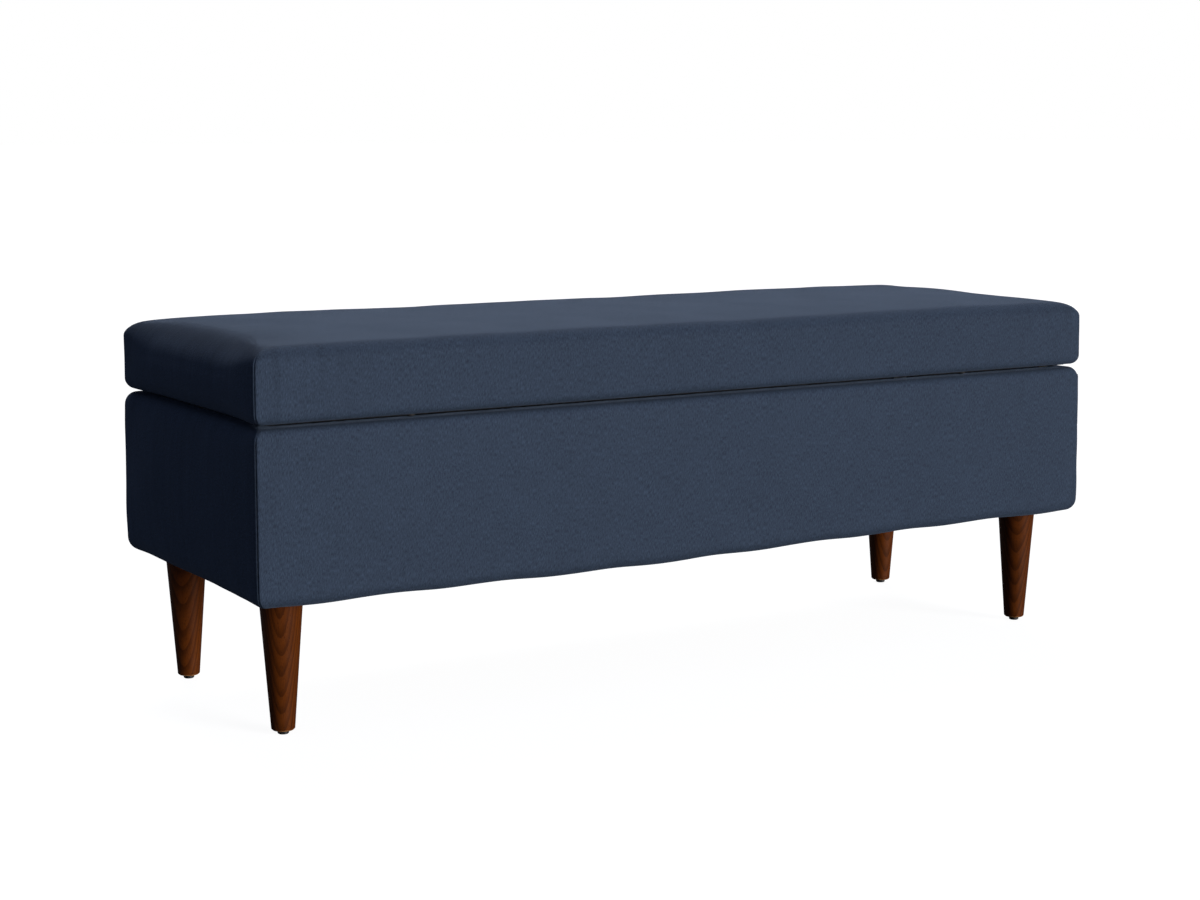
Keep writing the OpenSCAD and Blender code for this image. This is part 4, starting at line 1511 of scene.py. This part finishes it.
@dataclass
class StorageLiner:
    """The tray of lining cloth in the box, in millimetres."""

    cloth: bpy.types.Material
    half_x: float = 590.1
    half_y: float = 187.6
    top_z: float = 357.0
    floor_z: float = 202.0
    fold_r: float = 7.0
    thick: float = 1.0
    still_cells: float = 9.0

    def build(self) -> bpy.types.Object:
        """Makes the tray, seen from inside, and lays it in the box.

        Returns:
            The new object.
        """
        fold_z = self.floor_z + self.fold_r
        rows = [Row(0.0, z, 0.0, z, seam=0.0) for z in np.linspace(self.top_z, fold_z, 22)]
        for k in range(1, 6):
            angle = k / 5 * math.pi / 2
            inset, z = self.fold_r * (1 - math.cos(angle)), self.floor_z + self.fold_r * (1 - math.sin(angle))
            rows.append(Row(inset, z, inset, z, seam=0.0))
        edge = Corner(1.6, 5.0, 1.6, 5.0)
        form = SewnForm(self.half_x, self.half_y, rows, edge, edge, bottom_closed=False)
        skin = form.skin(True)
        slack = np.abs(ripple(skin.band, 31, 90.0)) * 0.35
        skin.band += form.normals(skin.band) * slack[..., None]
        lift = np.abs(ripple(skin.top, 37, 160.0)) * 0.9
        ramps = []
        for count in skin.top.shape[:2]:
            from_edge = np.minimum(np.arange(count), np.arange(count)[::-1])
            ramps.append(smooth(from_edge / self.still_cells))
        skin.top[..., 2] += lift * np.minimum.outer(*ramps)
        faces, _, _ = form.faces(len(skin.band), True)
        made = piece("storage_liner", form.points(skin) * MM, faces, self.cloth)
        thread, _ = form.coordinates(skin)
        lay_maps(made, thread=thread)
        thicken(made, self.thick, -1.0)
        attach(made, "base")
        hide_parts("storage_lining")
        return made


@dataclass
class StretchedSheet:
    """A rectangle of cambric stapled flat under the box or the lid, in millimetres."""

    name: str
    body: str
    node: str
    over: str
    cloth: bpy.types.Material
    half_x: float
    half_y: float
    top_z: float
    thick: float
    sag: float
    seed: int
    hem: float = 14.0
    hem_step: float = 0.35
    still_edge: float = 60.0

    def build(self) -> bpy.types.Object:
        """Makes the sheet and hangs it in place.

        Returns:
            The new object.
        """
        def spaced(half: float) -> np.ndarray:
            """Divides a half width, finer at the hem."""
            inner = half - self.hem - 1.0
            middle = np.linspace(-inner, inner, max(3, int(2 * inner / 9.0)))
            edge = np.array([inner + 1.0, inner + 1.8, half - 0.8, half])
            return np.concatenate([-edge[::-1], middle, edge])

        x, y = np.meshgrid(spaced(self.half_x), spaced(self.half_y))
        from_edge = np.minimum(self.half_x - np.abs(x), self.half_y - np.abs(y))
        free = smooth((from_edge - self.still_edge) / 110.0)
        wave = 0.5 + 0.5 * np.cos(2.0 * math.pi * x / self.half_x)
        points = np.stack([x, y, np.zeros_like(x)], 2)
        slack = np.abs(ripple(points, self.seed, 120.0))
        drop = self.sag * free * (0.65 + 0.35 * wave) + 0.2 * slack * free
        drop = drop + self.hem_step * (1 - smooth((from_edge - self.hem + 1.0) / 1.2))
        points[..., 2] = self.top_z - drop
        rows, across = x.shape
        number = np.arange(rows * across).reshape(rows, across)
        faces = np.stack([number[:-1, :-1], number[1:, :-1], number[1:, 1:], number[:-1, 1:]], 2)
        faces = faces.reshape(-1, 4)
        made = piece(self.name, points.reshape(-1, 3) * MM, faces, self.cloth)
        lay_maps(made, thread=points.reshape(-1, 3)[faces.ravel()][:, :2] * MM)
        thicken(made, self.thick, 1.0)
        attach(made, self.body)
        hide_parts(self.node)
        return made


# ---------- Repeated small parts ----------


def islands(node: str) -> list[np.ndarray]:
    """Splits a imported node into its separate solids.

    Args:
        node: The node's name.

    Returns:
        Each solid's points in metres, in a fixed order.
    """
    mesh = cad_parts[node].data
    points = np.array([v.co for v in mesh.vertices])
    _, same = np.unique(np.round(points / (0.01 * MM)).astype(np.int64), axis=0, return_inverse=True)
    same = same.ravel()
    parent = np.arange(same.max() + 1)

    def root(i: int) -> int:
        """Finds a point's group."""
        while parent[i] != i:
            parent[i] = parent[parent[i]]
            i = parent[i]
        return i

    for polygon in mesh.polygons:
        first = root(same[polygon.vertices[0]])
        for corner in polygon.vertices[1:]:
            parent[root(same[corner])] = first
    groups: dict[int, list[int]] = {}
    for number, label in enumerate(same):
        groups.setdefault(root(label), []).append(number)
    found = [points[members] for members in groups.values()]
    return sorted(found, key=lambda p: tuple(np.round(p.min(0), 4)))


@dataclass(frozen=True)
class Place:
    """Where a small part sits, in metres: a point, the way it faces and the way its width runs."""

    at: Triple
    facing: Triple
    along: Triple = (1.0, 0.0, 0.0)


def screw_places(*nodes: str) -> list[Place]:
    """Finds the heads of the screws in some nodes.

    Args:
        nodes: The nodes.

    Returns:
        A place at the middle of each head's top.
    """
    places = []
    for node in nodes:
        for solid in islands(node):
            low, high = solid.min(0), solid.max(0)
            axis = int(np.argmax(high - low))
            others = [i for i in range(3) if i != axis]
            middle = 0.5 * (low + high)
            reach = np.linalg.norm(solid[:, others] - middle[others], axis=1)
            upper = reach[solid[:, axis] > high[axis] - 0.1 * MM].max()
            lower = reach[solid[:, axis] < low[axis] + 0.1 * MM].max()
            at, facing = middle.copy(), np.zeros(3)
            at[axis], facing[axis] = (high[axis], 1.0) if upper > lower else (low[axis], -1.0)
            along = (0.0, 1.0, 0.0) if axis == 0 else (1.0, 0.0, 0.0)
            places.append(Place(tuple(at), tuple(facing), along))
    return places


class Repeated:
    """A Geometry Nodes tree that sets one small part at each place, turned its way."""

    title = "repeated"
    sizes: tuple[tuple[str, float], ...] = ()

    def part(self, g: Graph, size: dict[str, bpy.types.NodeSocket]) -> bpy.types.NodeSocket:
        """Makes one part facing up Z with its top at the origin; each kind has its own."""
        raise NotImplementedError

    def moved(self, g: Graph, shape: object, shift: object = None,
              scale: object = None) -> bpy.types.NodeSocket:
        """Moves and scales a shape.

        Args:
            g: The tree's graph.
            shape: The shape.
            shift: How far it moves.
            scale: Its factor on each axis.

        Returns:
            The moved shape.
        """
        given = {"Geometry": shape}
        if shift is not None:
            given["Translation"] = shift
        if scale is not None:
            given["Scale"] = scale
        return g.add("GeometryNodeTransform", given).outputs[0]

    def joined(self, g: Graph, *shapes: bpy.types.NodeSocket) -> bpy.types.NodeSocket:
        """Joins shapes into one."""
        node = g.add("GeometryNodeJoinGeometry")
        for shape in shapes:
            g.tree.links.new(shape, node.inputs[0])
        return node.outputs[0]

    def tree(self) -> bpy.types.NodeTree:
        """Finds or makes the tree.

        Returns:
            The node group.
        """
        tree = bpy.data.node_groups.get(self.title)
        if tree is not None:
            return tree
        tree = bpy.data.node_groups.new(self.title, "GeometryNodeTree")
        tree.interface.new_socket("Geometry", in_out="INPUT", socket_type="NodeSocketGeometry")
        for name, value in self.sizes:
            tree.interface.new_socket(name, in_out="INPUT", socket_type=FLOAT).default_value = value
        tree.interface.new_socket("Twist", in_out="INPUT", socket_type=FLOAT).default_value = 0.0
        tree.interface.new_socket("Seed", in_out="INPUT", socket_type="NodeSocketInt").default_value = 1
        tree.interface.new_socket("Finish", in_out="INPUT", socket_type="NodeSocketMaterial")
        tree.interface.new_socket("Geometry", in_out="OUTPUT", socket_type="NodeSocketGeometry")
        g = Graph(tree)
        given = g.add("NodeGroupInput").outputs
        shape = self.part(g, {name: given[name] for name, _ in self.sizes})
        facing = g.add("GeometryNodeInputNamedAttribute", {"Name": "facing"}, data_type="FLOAT_VECTOR")
        along = g.add("GeometryNodeInputNamedAttribute", {"Name": "along"}, data_type="FLOAT_VECTOR")
        upright = g.add("FunctionNodeAlignRotationToVector", {"Vector": facing.outputs[0]}, axis="Z")
        turned = g.add("FunctionNodeAlignRotationToVector",
                       {"Rotation": upright.outputs[0], "Vector": along.outputs[0]}, axis="X", pivot_axis="Z")
        chance = g.add("FunctionNodeRandomValue", {"Seed": given["Seed"]}, data_type="FLOAT")
        amount = next(s for s in chance.outputs if s.enabled)
        for socket in chance.inputs:
            if socket.enabled and socket.name in ("Min", "Max"):
                socket.default_value = -1.0 if socket.name == "Min" else 1.0
        angle = g.times(amount, given["Twist"])
        twist = g.add("FunctionNodeAxisAngleToRotation", {"Axis": (0.0, 0.0, 1.0), "Angle": angle})
        final = g.add("FunctionNodeRotateRotation", {"Rotation": turned.outputs[0],
                                                     "Rotate By": twist.outputs[0]}, rotation_space="LOCAL")
        set_out = g.add("GeometryNodeInstanceOnPoints", {"Points": given["Geometry"], "Instance": shape,
                                                         "Rotation": final.outputs[0]})
        real = g.add("GeometryNodeRealizeInstances", {0: set_out.outputs[0]})
        dressed = g.add("GeometryNodeSetMaterial", {"Geometry": real.outputs[0], "Material": given["Finish"]})
        g.add("NodeGroupOutput", {0: dressed.outputs[0]})
        return tree

    def build(self, name: str, body: str, places: list[Place], finish: bpy.types.Material, slot: Slot,
              stands_for: tuple[str, ...] = (), **values: float) -> bpy.types.Object:
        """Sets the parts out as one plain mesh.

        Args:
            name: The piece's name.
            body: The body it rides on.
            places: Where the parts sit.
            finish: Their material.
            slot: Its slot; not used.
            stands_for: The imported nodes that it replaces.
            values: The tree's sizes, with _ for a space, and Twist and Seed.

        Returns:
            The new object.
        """
        mesh = bpy.data.meshes.new(name + "_places")
        mesh.from_pydata([p.at for p in places], [], [])
        for key in ("facing", "along"):
            layer = mesh.attributes.new(key, "FLOAT_VECTOR", "POINT")
            layer.data.foreach_set("vector", np.array([getattr(p, key) for p in places], np.float32).ravel())
        source = placed(name + "_places", mesh)
        modifier = source.modifiers.new("set_out", "NODES")
        modifier.node_group = self.tree()
        known = {item.name: item.identifier for item in modifier.node_group.interface.items_tree
                 if item.in_out == "INPUT"}
        for key, value in {**values, "Finish": finish}.items():
            modifier[known[key.replace("_", " ")]] = value
        depsgraph = bpy.context.evaluated_depsgraph_get()
        plain = bpy.data.meshes.new_from_object(source.evaluated_get(depsgraph), depsgraph=depsgraph)
        source.modifiers.remove(modifier)
        bpy.data.objects.remove(source)
        plain.name = name
        made = placed(name, plain)
        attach(made, body)
        if stands_for:
            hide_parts(*stands_for)
        return made


class WoodScrews(Repeated):
    """Countersunk screws with a cross recess and a tapered thread."""

    title = "wood_screws"
    sizes = (("Head", 3.2 * MM), ("Shank", 1.6 * MM), ("Length", 13 * MM), ("Recess", 1.1 * MM))

    def part(self, g: Graph, size: dict[str, bpy.types.NodeSocket]) -> bpy.types.NodeSocket:
        """Makes one screw.

        Args:
            g: The tree's graph.
            size: Its sizes.

        Returns:
            The screw.
        """
        depth = g.less(size["Head"], size["Shank"])
        head = g.add("GeometryNodeMeshCone", {"Vertices": 24, "Radius Top": size["Head"],
                                              "Radius Bottom": size["Shank"], "Depth": depth}).outputs[0]
        head = self.moved(g, head, g.combined(z=g.times(depth, -1.0)))
        bars = []
        for wide, narrow in ((1.15, 0.24), (0.24, 1.15)):
            span = g.combined(g.times(size["Head"], wide), g.times(size["Head"], narrow),
                              g.times(size["Recess"], 2.0))
            bars.append(g.add("GeometryNodeMeshCube", {"Size": span}).outputs[0])
        cut = g.add("GeometryNodeMeshBoolean", {"Mesh 1": head}, operation="DIFFERENCE")
        for bar in bars:
            g.tree.links.new(bar, cut.inputs["Mesh 2"])
        shank = g.add("GeometryNodeMeshCone", {
            "Vertices": 12, "Side Segments": 6, "Radius Top": size["Shank"],
            "Radius Bottom": g.times(size["Shank"], 0.35),
            "Depth": g.less(size["Length"], depth)}).outputs[0]
        shank = self.moved(g, shank, g.combined(z=g.times(size["Length"], -1.0)))
        return self.joined(g, cut.outputs[0], shank)


class Staples(Repeated):
    """Wire staples: a crown on the cloth and two legs into the wood."""

    title = "staples"
    sizes = (("Crown", 10 * MM), ("Wire", 1.0 * MM), ("Proud", 0.5 * MM), ("Leg", 6 * MM))

    def part(self, g: Graph, size: dict[str, bpy.types.NodeSocket]) -> bpy.types.NodeSocket:
        """Makes one staple with its crown's top at the origin's height plus Proud.

        Args:
            g: The tree's graph.
            size: Its sizes.

        Returns:
            The staple.
        """
        half = g.times(size["Proud"], 0.5)
        crown = g.add("GeometryNodeMeshCube", {"Size": g.combined(size["Crown"], size["Wire"], size["Proud"]),
                                               "Vertices X": 4, "Vertices Y": 3}).outputs[0]
        crown = self.moved(g, crown, g.combined(z=half))
        legs = []
        for side in (-1.0, 1.0):
            span = g.combined(size["Proud"], size["Wire"], size["Leg"])
            leg = g.add("GeometryNodeMeshCube", {"Size": span})
            out, down = g.times(g.less(size["Crown"], size["Proud"]), 0.5 * side), g.times(size["Leg"], -0.5)
            legs.append(self.moved(g, leg.outputs[0], g.combined(x=out, z=down)))
        return self.joined(g, crown, *legs)


class Domes(Repeated):
    """Domed bumpers, flat where they are stuck on."""

    title = "domes"
    sizes = (("Radius", 5 * MM), ("Height", 2.9 * MM))

    def part(self, g: Graph, size: dict[str, bpy.types.NodeSocket]) -> bpy.types.NodeSocket:
        """Makes one bumper, with the surface that it is stuck on at the origin.

        Args:
            g: The tree's graph.
            size: Its sizes.

        Returns:
            The bumper.
        """
        foot = g.add("GeometryNodeMeshCylinder", {"Vertices": 28, "Radius": size["Radius"],
                                                  "Depth": g.times(size["Height"], 0.4)}).outputs[0]
        foot = self.moved(g, foot, g.combined(z=g.times(size["Height"], 0.2)))
        ball = g.add("GeometryNodeMeshUVSphere", {"Segments": 28, "Rings": 14, "Radius": 1.0}).outputs[0]
        ball = self.moved(g, ball, g.combined(z=g.times(size["Height"], 0.4)),
                          g.combined(size["Radius"], size["Radius"], g.times(size["Height"], 0.6)))
        soft = g.add("GeometryNodeSetShadeSmooth", {"Geometry": ball})
        return self.joined(g, foot, soft.outputs[0])


class Stitches(Repeated):
    """Lockstitches that lie half sunk along a hem."""

    title = "stitches"
    sizes = (("Length", 3.0 * MM), ("Thread", 0.35 * MM))

    def part(self, g: Graph, size: dict[str, bpy.types.NodeSocket]) -> bpy.types.NodeSocket:
        """Makes one stitch.

        Args:
            g: The tree's graph.
            size: Its sizes.

        Returns:
            The stitch.
        """
        ball = g.add("GeometryNodeMeshUVSphere", {"Segments": 6, "Rings": 5, "Radius": 1.0}).outputs[0]
        ball = self.moved(g, ball, None, g.combined(g.times(size["Length"], 0.5), size["Thread"],
                                                 size["Thread"]))
        return g.add("GeometryNodeSetShadeSmooth", {"Geometry": ball}).outputs[0]


# ---------- Timber, legs and metal ----------


CORNERS = ("front_left", "front_right", "back_left", "back_right")


def dress(node: str, material: bpy.types.Material) -> None:
    """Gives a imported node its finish.

    Args:
        node: The node's name.
        material: Its finish.
    """
    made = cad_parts[node]
    if not made.material_slots:
        made.data.materials.append(material)
    for held in made.material_slots:
        held.material = material


@dataclass
class Legs:
    """The four walnut legs with their glides, nails, bolts and nuts."""

    heart_off: float = 0.055
    heart_ways: tuple[float, ...] = (-118.0, 205.0, 64.0, -38.0)  # where the tree's heart lay, in degrees
    twist: float = 17.0

    def build(self) -> list[str]:
        """Dresses the legs and what holds them.

        Returns:
            The nodes dressed.
        """
        done = []
        for k, corner in enumerate(CORNERS):
            node = f"leg_{corner}"
            low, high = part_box(node)
            middle = (low + high) / 2
            way = math.radians(self.heart_ways[k])
            heart = (middle.x + self.heart_off * math.cos(way), middle.y + self.heart_off * math.sin(way))
            dress(node, Walnut(corner, heart, self.twist * k).material())
            done.append(node)
        plastic = Moulded("black_glide_plastic", (0.006, 0.006, 0.007), (0.03, 0.03, 0.032), 0.42).material()
        zinc = Steel("zinc_plate", (0.56, 0.57, 0.58), (0.33, 0.34, 0.36), 0.38).material()
        dress("glides", plastic)
        for node in ("glide_nails", "hanger_bolts", "t_nuts"):
            dress(node, zinc)
        return [*done, "glides", "glide_nails", "hanger_bolts", "t_nuts"]


@dataclass
class Carcass:
    """The hidden timber frame: plywood panels and softwood cleats, rail and blocks."""

    birch_pale: Colour = (0.60, 0.43, 0.25)
    birch_dark: Colour = (0.38, 0.24, 0.12)
    pine_pale: Colour = (0.66, 0.46, 0.24)
    pine_dark: Colour = (0.40, 0.22, 0.09)
    ply: float = 2.1 * MM

    def build(self) -> list[str]:
        """Dresses the frame.

        Returns:
            The nodes dressed.
        """
        birch, pine = (self.birch_pale, self.birch_dark), (self.pine_pale, self.pine_dark)
        blocks = tuple(f"corner_block_{corner}" for corner in CORNERS)
        boards = (
            (("front_panel", "back_panel"), "plywood_long", birch, (Run.ALONG_X, 0.011, self.ply, 1)),
            (("left_panel", "right_panel"), "plywood_end", birch, (Run.ALONG_Y, 0.011, self.ply, 0)),
            (("floor_panel", "lid_board"), "plywood_flat", birch, (Run.ALONG_X, 0.012, self.ply, 2)),
            (("front_cleat", "back_cleat"), "pine_long", pine, (Run.ALONG_X, 0.005)),
            (("left_cleat", "right_cleat", "centre_rail"), "pine_cross", pine, (Run.ALONG_Y, 0.005)),
            (blocks, "pine_block", pine, (Run.ALONG_X, 0.0045)),
        )
        done = []
        for nodes, title, wood, cut in boards:
            material = Timber(title, *wood, *cut).material()
            for node in nodes:
                dress(node, material)
                done.append(node)
        return done


@dataclass
class Ironwork:
    """Hinges, lid stays, screws, staples and bumpers; lengths in millimetres."""

    rim_gap: float = 9.0          # from the lining's top edge down to its staples
    lid_edge_gap: float = 5.0     # from the under cloth's edge in to its staples
    lid_under_z: float = 372.0
    hinge_xs: Triple = (-432.5, 0.0, 432.5)
    hinge_clear: float = 42.0     # no staple comes nearer to a hinge's middle

    @property
    def zinc(self) -> bpy.types.Material:
        """Finds the plating that the legs' fittings have too."""
        return bpy.data.materials["zinc_plate"]

    def dressed(self) -> list[str]:
        """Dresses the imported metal.

        Returns:
            The nodes dressed.
        """
        hinge = Steel("nickel_hinge", (0.60, 0.56, 0.50), (0.40, 0.37, 0.33), 0.26,
                      (60.0, 1500.0, 1500.0)).material()
        stay = Steel("zinc_stay", (0.52, 0.54, 0.57), (0.34, 0.35, 0.37), 0.34,
                     (1500.0, 120.0, 1500.0)).material()
        bright = Steel("turned_pin", (0.62, 0.61, 0.60), (0.42, 0.41, 0.40), 0.22,
                       (40.0, 1500.0, 1500.0)).material()
        done = []
        for place in ("left", "centre", "right"):
            for half in ("base", "lid"):
                done.append(f"hinge_{half}_leaf_{place}")
                dress(done[-1], hinge)
        for side in ("left", "right"):
            for kind in ("stay_plate", "stay_bracket", "stay_arm"):
                done.append(f"{kind}_{side}")
                dress(done[-1], stay)
        for node, material in (("hinge_pins", bright), ("stay_studs", bright), ("stay_rivets", bright),
                               ("frame_screws", self.zinc)):
            done.append(node)
            dress(node, material)
        return done

    def screws(self) -> list[bpy.types.Object]:
        """Sets the small wood screws.

        Returns:
            The new objects.
        """
        sets = (("screws_base", "base", ("base_hinge_screws", "stay_plate_screws"), 5),
                ("screws_lid", "lid", ("lid_hinge_screws", "stay_bracket_screws"), 9))
        return [WoodScrews().build(name, body, screw_places(*nodes), self.zinc, Slot.ZINC, nodes,
                                   Twist=math.radians(45.0), Seed=seed) for name, body, nodes, seed in sets]

    def staples(self, liner: StorageLiner, lid_half: tuple[float, float]) -> list[bpy.types.Object]:
        """Sets the staples of the cambric, the lining and the lid's under cloth.

        Args:
            liner: The storage lining, for its size.
            lid_half: The half sizes of the lid's under cloth in millimetres.

        Returns:
            The new objects.
        """
        under = []
        for solid in islands("dust_cover_staples"):
            low, high = solid.min(0), solid.max(0)
            middle = 0.5 * (low + high)
            along = (1.0, 0.0, 0.0) if high[0] - low[0] > high[1] - low[1] else (0.0, 1.0, 0.0)
            under.append(Place((middle[0], middle[1], low[2] + 0.5 * MM), (0.0, 0.0, -1.0), along))
        half_x, half_y, height = liner.half_x - 0.15, liner.half_y - 0.15, liner.top_z - self.rim_gap
        lid_x, lid_y = (half - self.lid_edge_gap for half in lid_half)
        inside, lid = [], []
        for side in (-1, 1):
            for x in np.arange(-560.0, 561.0, 70.0):
                inside.append(((x, side * half_y, height), (0.0, -side, 0.0), (1.0, 0.0, 0.0)))
            for y in np.arange(-150.0, 100.0, 62.0):
                inside.append(((side * half_x, y, height), (-side, 0.0, 0.0), (0.0, 1.0, 0.0)))
            for x in np.arange(-585.0, 586.0, 65.0):
                if side < 0 or all(abs(x - hinge) >= self.hinge_clear for hinge in self.hinge_xs):
                    lid.append(((x, side * lid_y, self.lid_under_z), (0.0, 0.0, -1.0), (1.0, 0.0, 0.0)))
            for y in np.arange(-180.0, 181.0, 60.0):
                lid.append(((side * lid_x, y, self.lid_under_z), (0.0, 0.0, -1.0), (0.0, 1.0, 0.0)))

        def metres(rows: list) -> list[Place]:
            """Turns places in millimetres into places."""
            return [Place(tuple(c * MM for c in at), facing, along) for at, facing, along in rows]

        return [
            Staples().build("staples_dust_cover", "base", under, self.zinc, Slot.ZINC,
                            ("dust_cover_staples",), Twist=math.radians(5.0), Seed=3),
            Staples().build("staples_lining", "base", metres(inside), self.zinc, Slot.ZINC, (),
                            Twist=math.radians(6.0), Seed=13, Wire=0.9 * MM, Proud=0.45 * MM, Leg=4 * MM),
            Staples().build("staples_lid", "lid", metres(lid), self.zinc, Slot.ZINC, (),
                            Twist=math.radians(6.0), Seed=17, Wire=0.9 * MM, Proud=0.45 * MM, Leg=4 * MM)]

    def bumpers(self) -> bpy.types.Object:
        """Sets the domed bumpers under the lid.

        Returns:
            The new object.
        """
        rubber = Moulded("bumper_rubber", (0.018, 0.018, 0.019), (0.05, 0.05, 0.052), 0.6).material()
        places = []
        for solid in islands("lid_bumpers"):
            low, high = solid.min(0), solid.max(0)
            places.append(Place(((low[0] + high[0]) / 2, (low[1] + high[1]) / 2, high[2]), (0.0, 0.0, -1.0)))
        return Domes().build("bumpers", "lid", places, rubber, Slot.RUBBER, ("lid_bumpers",), Seed=1)


def hem_stitches(liner: StorageLiner, thread: bpy.types.Material, pitch: float = 4.2, below: float = 4.5,
                 margin: float = 8.0) -> bpy.types.Object:
    """Sews the lining's top hem.

    Args:
        liner: The lining, for its size.
        thread: The thread's finish.
        pitch: One stitch to the next, in millimetres.
        below: How far under the lining's edge they run.
        margin: How far they stop from the corners.

    Returns:
        The new object.
    """
    places, height = [], (liner.top_z - below) * MM
    for side in (-1, 1):
        for x in np.arange(-liner.half_x + margin, liner.half_x - margin, pitch):
            places.append(Place((x * MM, side * liner.half_y * MM, height), (0.0, -side, 0.0)))
        for y in np.arange(-liner.half_y + margin, liner.half_y - margin, pitch):
            at = (side * liner.half_x * MM, y * MM, height)
            places.append(Place(at, (-side, 0.0, 0.0), (0.0, 1.0, 0.0)))
    return Stitches().build("lining_hem_stitches", "base", places, thread, Slot.LINING, (),
                            Twist=math.radians(3.0), Seed=21)


# ---------- Studio ----------


@dataclass
class Studio:
    """Pale floor, white surroundings, two soft lights and the camera, in metres and degrees."""

    eye: Triple = (-1.5456, -2.4530, 0.7044)
    yaw: float = 31.554
    pitch: float = 6.913
    lens: float = 65.09
    sensor: float = 36.0
    shift: float = -0.05
    key_way: Triple = (0.43, -0.90, 0.08)
    key_power: float = 4.6
    top_way: Triple = (0.25, 0.56, 0.79)
    top_power: float = 1.02
    spread: float = 30.0
    sky: Colour = (0.100, 0.124, 0.185)
    bounce: float = 0.12
    floor_glow: float = 0.94

    def camera(self) -> None:
        """Sets the camera."""
        data = bpy.data.cameras.new("camera")
        data.lens, data.sensor_width, data.sensor_fit = self.lens, self.sensor, "HORIZONTAL"
        data.shift_y = self.shift
        data.clip_start, data.clip_end = 0.05, 200.0
        made = placed("camera", data)
        made.location = self.eye
        made.rotation_euler = (math.radians(90.0 - self.pitch), 0.0, math.radians(-self.yaw))
        bpy.context.scene.camera = made

    def light(self, name: str, way: Triple, power: float) -> None:
        """Adds a soft light far off.

        Args:
            name: Its name.
            way: The direction to it.
            power: Its strength.
        """
        data = bpy.data.lights.new(name, "SUN")
        data.energy, data.angle, data.color = power, math.radians(self.spread), (1.0, 0.99, 0.97)
        made = placed(name, data)
        direction = Vector(way).normalized()
        made.location = direction * 4.0
        made.rotation_euler = direction.to_track_quat("Z", "Y").to_euler()

    def floor(self) -> None:
        """Makes the wide pale floor: near white to the eye, and darker in the light that it throws back."""
        material, g, shader = surface("pale_floor", Specular_IOR_Level=0.0, Roughness=1.0)
        soft = g.noise(place_of(g), 1.3, 2.0)
        seen = g.add("ShaderNodeLightPath").outputs["Is Camera Ray"]
        pale = g.mix(soft, (0.24, 0.24, 0.24), (0.26, 0.26, 0.26))
        g.put(shader.inputs["Base Color"], g.mix(seen, (self.bounce,) * 3, pale))
        g.put(shader.inputs["Emission Color"], g.mix(seen, (0.0, 0.0, 0.0), (self.floor_glow,) * 3))
        shader.inputs["Emission Strength"].default_value = 1.0
        half, count = 80.0, 17
        edge = np.linspace(-half, half, count)
        points = [(x, y, 0.0) for y in edge for x in edge]
        faces = [(c, c + 1, c + 1 + count, c + count) for r in range(count - 1)
                 for c in range(r * count, (r + 1) * count - 1)]
        made = piece("floor", np.array(points), np.array(faces), material)

    def build(self) -> None:
        """Sets up the studio."""
        scene = bpy.context.scene
        scene.view_settings.view_transform = "Standard"
        world = bpy.data.worlds.new("studio")
        scene.world = world
        world.use_nodes = True
        g = Graph(world.node_tree)
        back = world.node_tree.nodes["Background"]
        seen = g.add("ShaderNodeLightPath").outputs["Is Camera Ray"]
        g.put(back.inputs["Color"], g.mix(seen, self.sky, (1.0, 1.0, 1.0)))
        self.camera()
        self.floor()
        self.light("key", self.key_way, self.key_power)
        self.light("top", self.top_way, self.top_power)


# ---------- The whole piece ----------


def main() -> None:
    """Builds everything in order and reports each piece."""
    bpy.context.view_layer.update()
    Studio().build()
    LOG.info("studio set")
    cloth = CoverCloth().material()
    lining = PlainCloth("grey_lining_cloth", (0.060, 0.062, 0.070), 1.3 * MM, 1.2).material()
    cambric = PlainCloth("black_cambric", (0.014, 0.014, 0.016), 1.9 * MM, 1.6).material()
    thread = PlainCloth("hem_thread", (0.10, 0.10, 0.11), 0.5 * MM, 0.4).material()
    liner = StorageLiner(lining)
    for made in (BoxCover(cloth).build(), LidCover(cloth).build(), liner.build()):
        LOG.info("%s: %d faces", made.name, len(made.data.polygons))
    dust = StretchedSheet("dust_cover_cloth", "base", "dust_cover", "box_upholstery", cambric, 604.3, 201.8,
                          165.8, 0.8, 2.5, 41)
    under = StretchedSheet("lid_under_cloth", "lid", "lid_lining", "lid_upholstery", cambric, 604.3, 201.8,
                           372.8, 0.8, 0.7, 43)
    for made in (dust.build(), under.build(), hem_stitches(liner, thread)):
        LOG.info("%s: %d faces", made.name, len(made.data.polygons))
    LOG.info("legs: %s", ", ".join(Legs().build()))
    LOG.info("frame: %s", ", ".join(Carcass().build()))
    iron = Ironwork()
    LOG.info("metal: %s", ", ".join(iron.dressed()))
    for made in (*iron.screws(), *iron.staples(liner, (under.half_x, under.half_y)), iron.bumpers()):
        LOG.info("%s: %d faces", made.name, len(made.data.polygons))


if __name__ == "__main__":
    main()
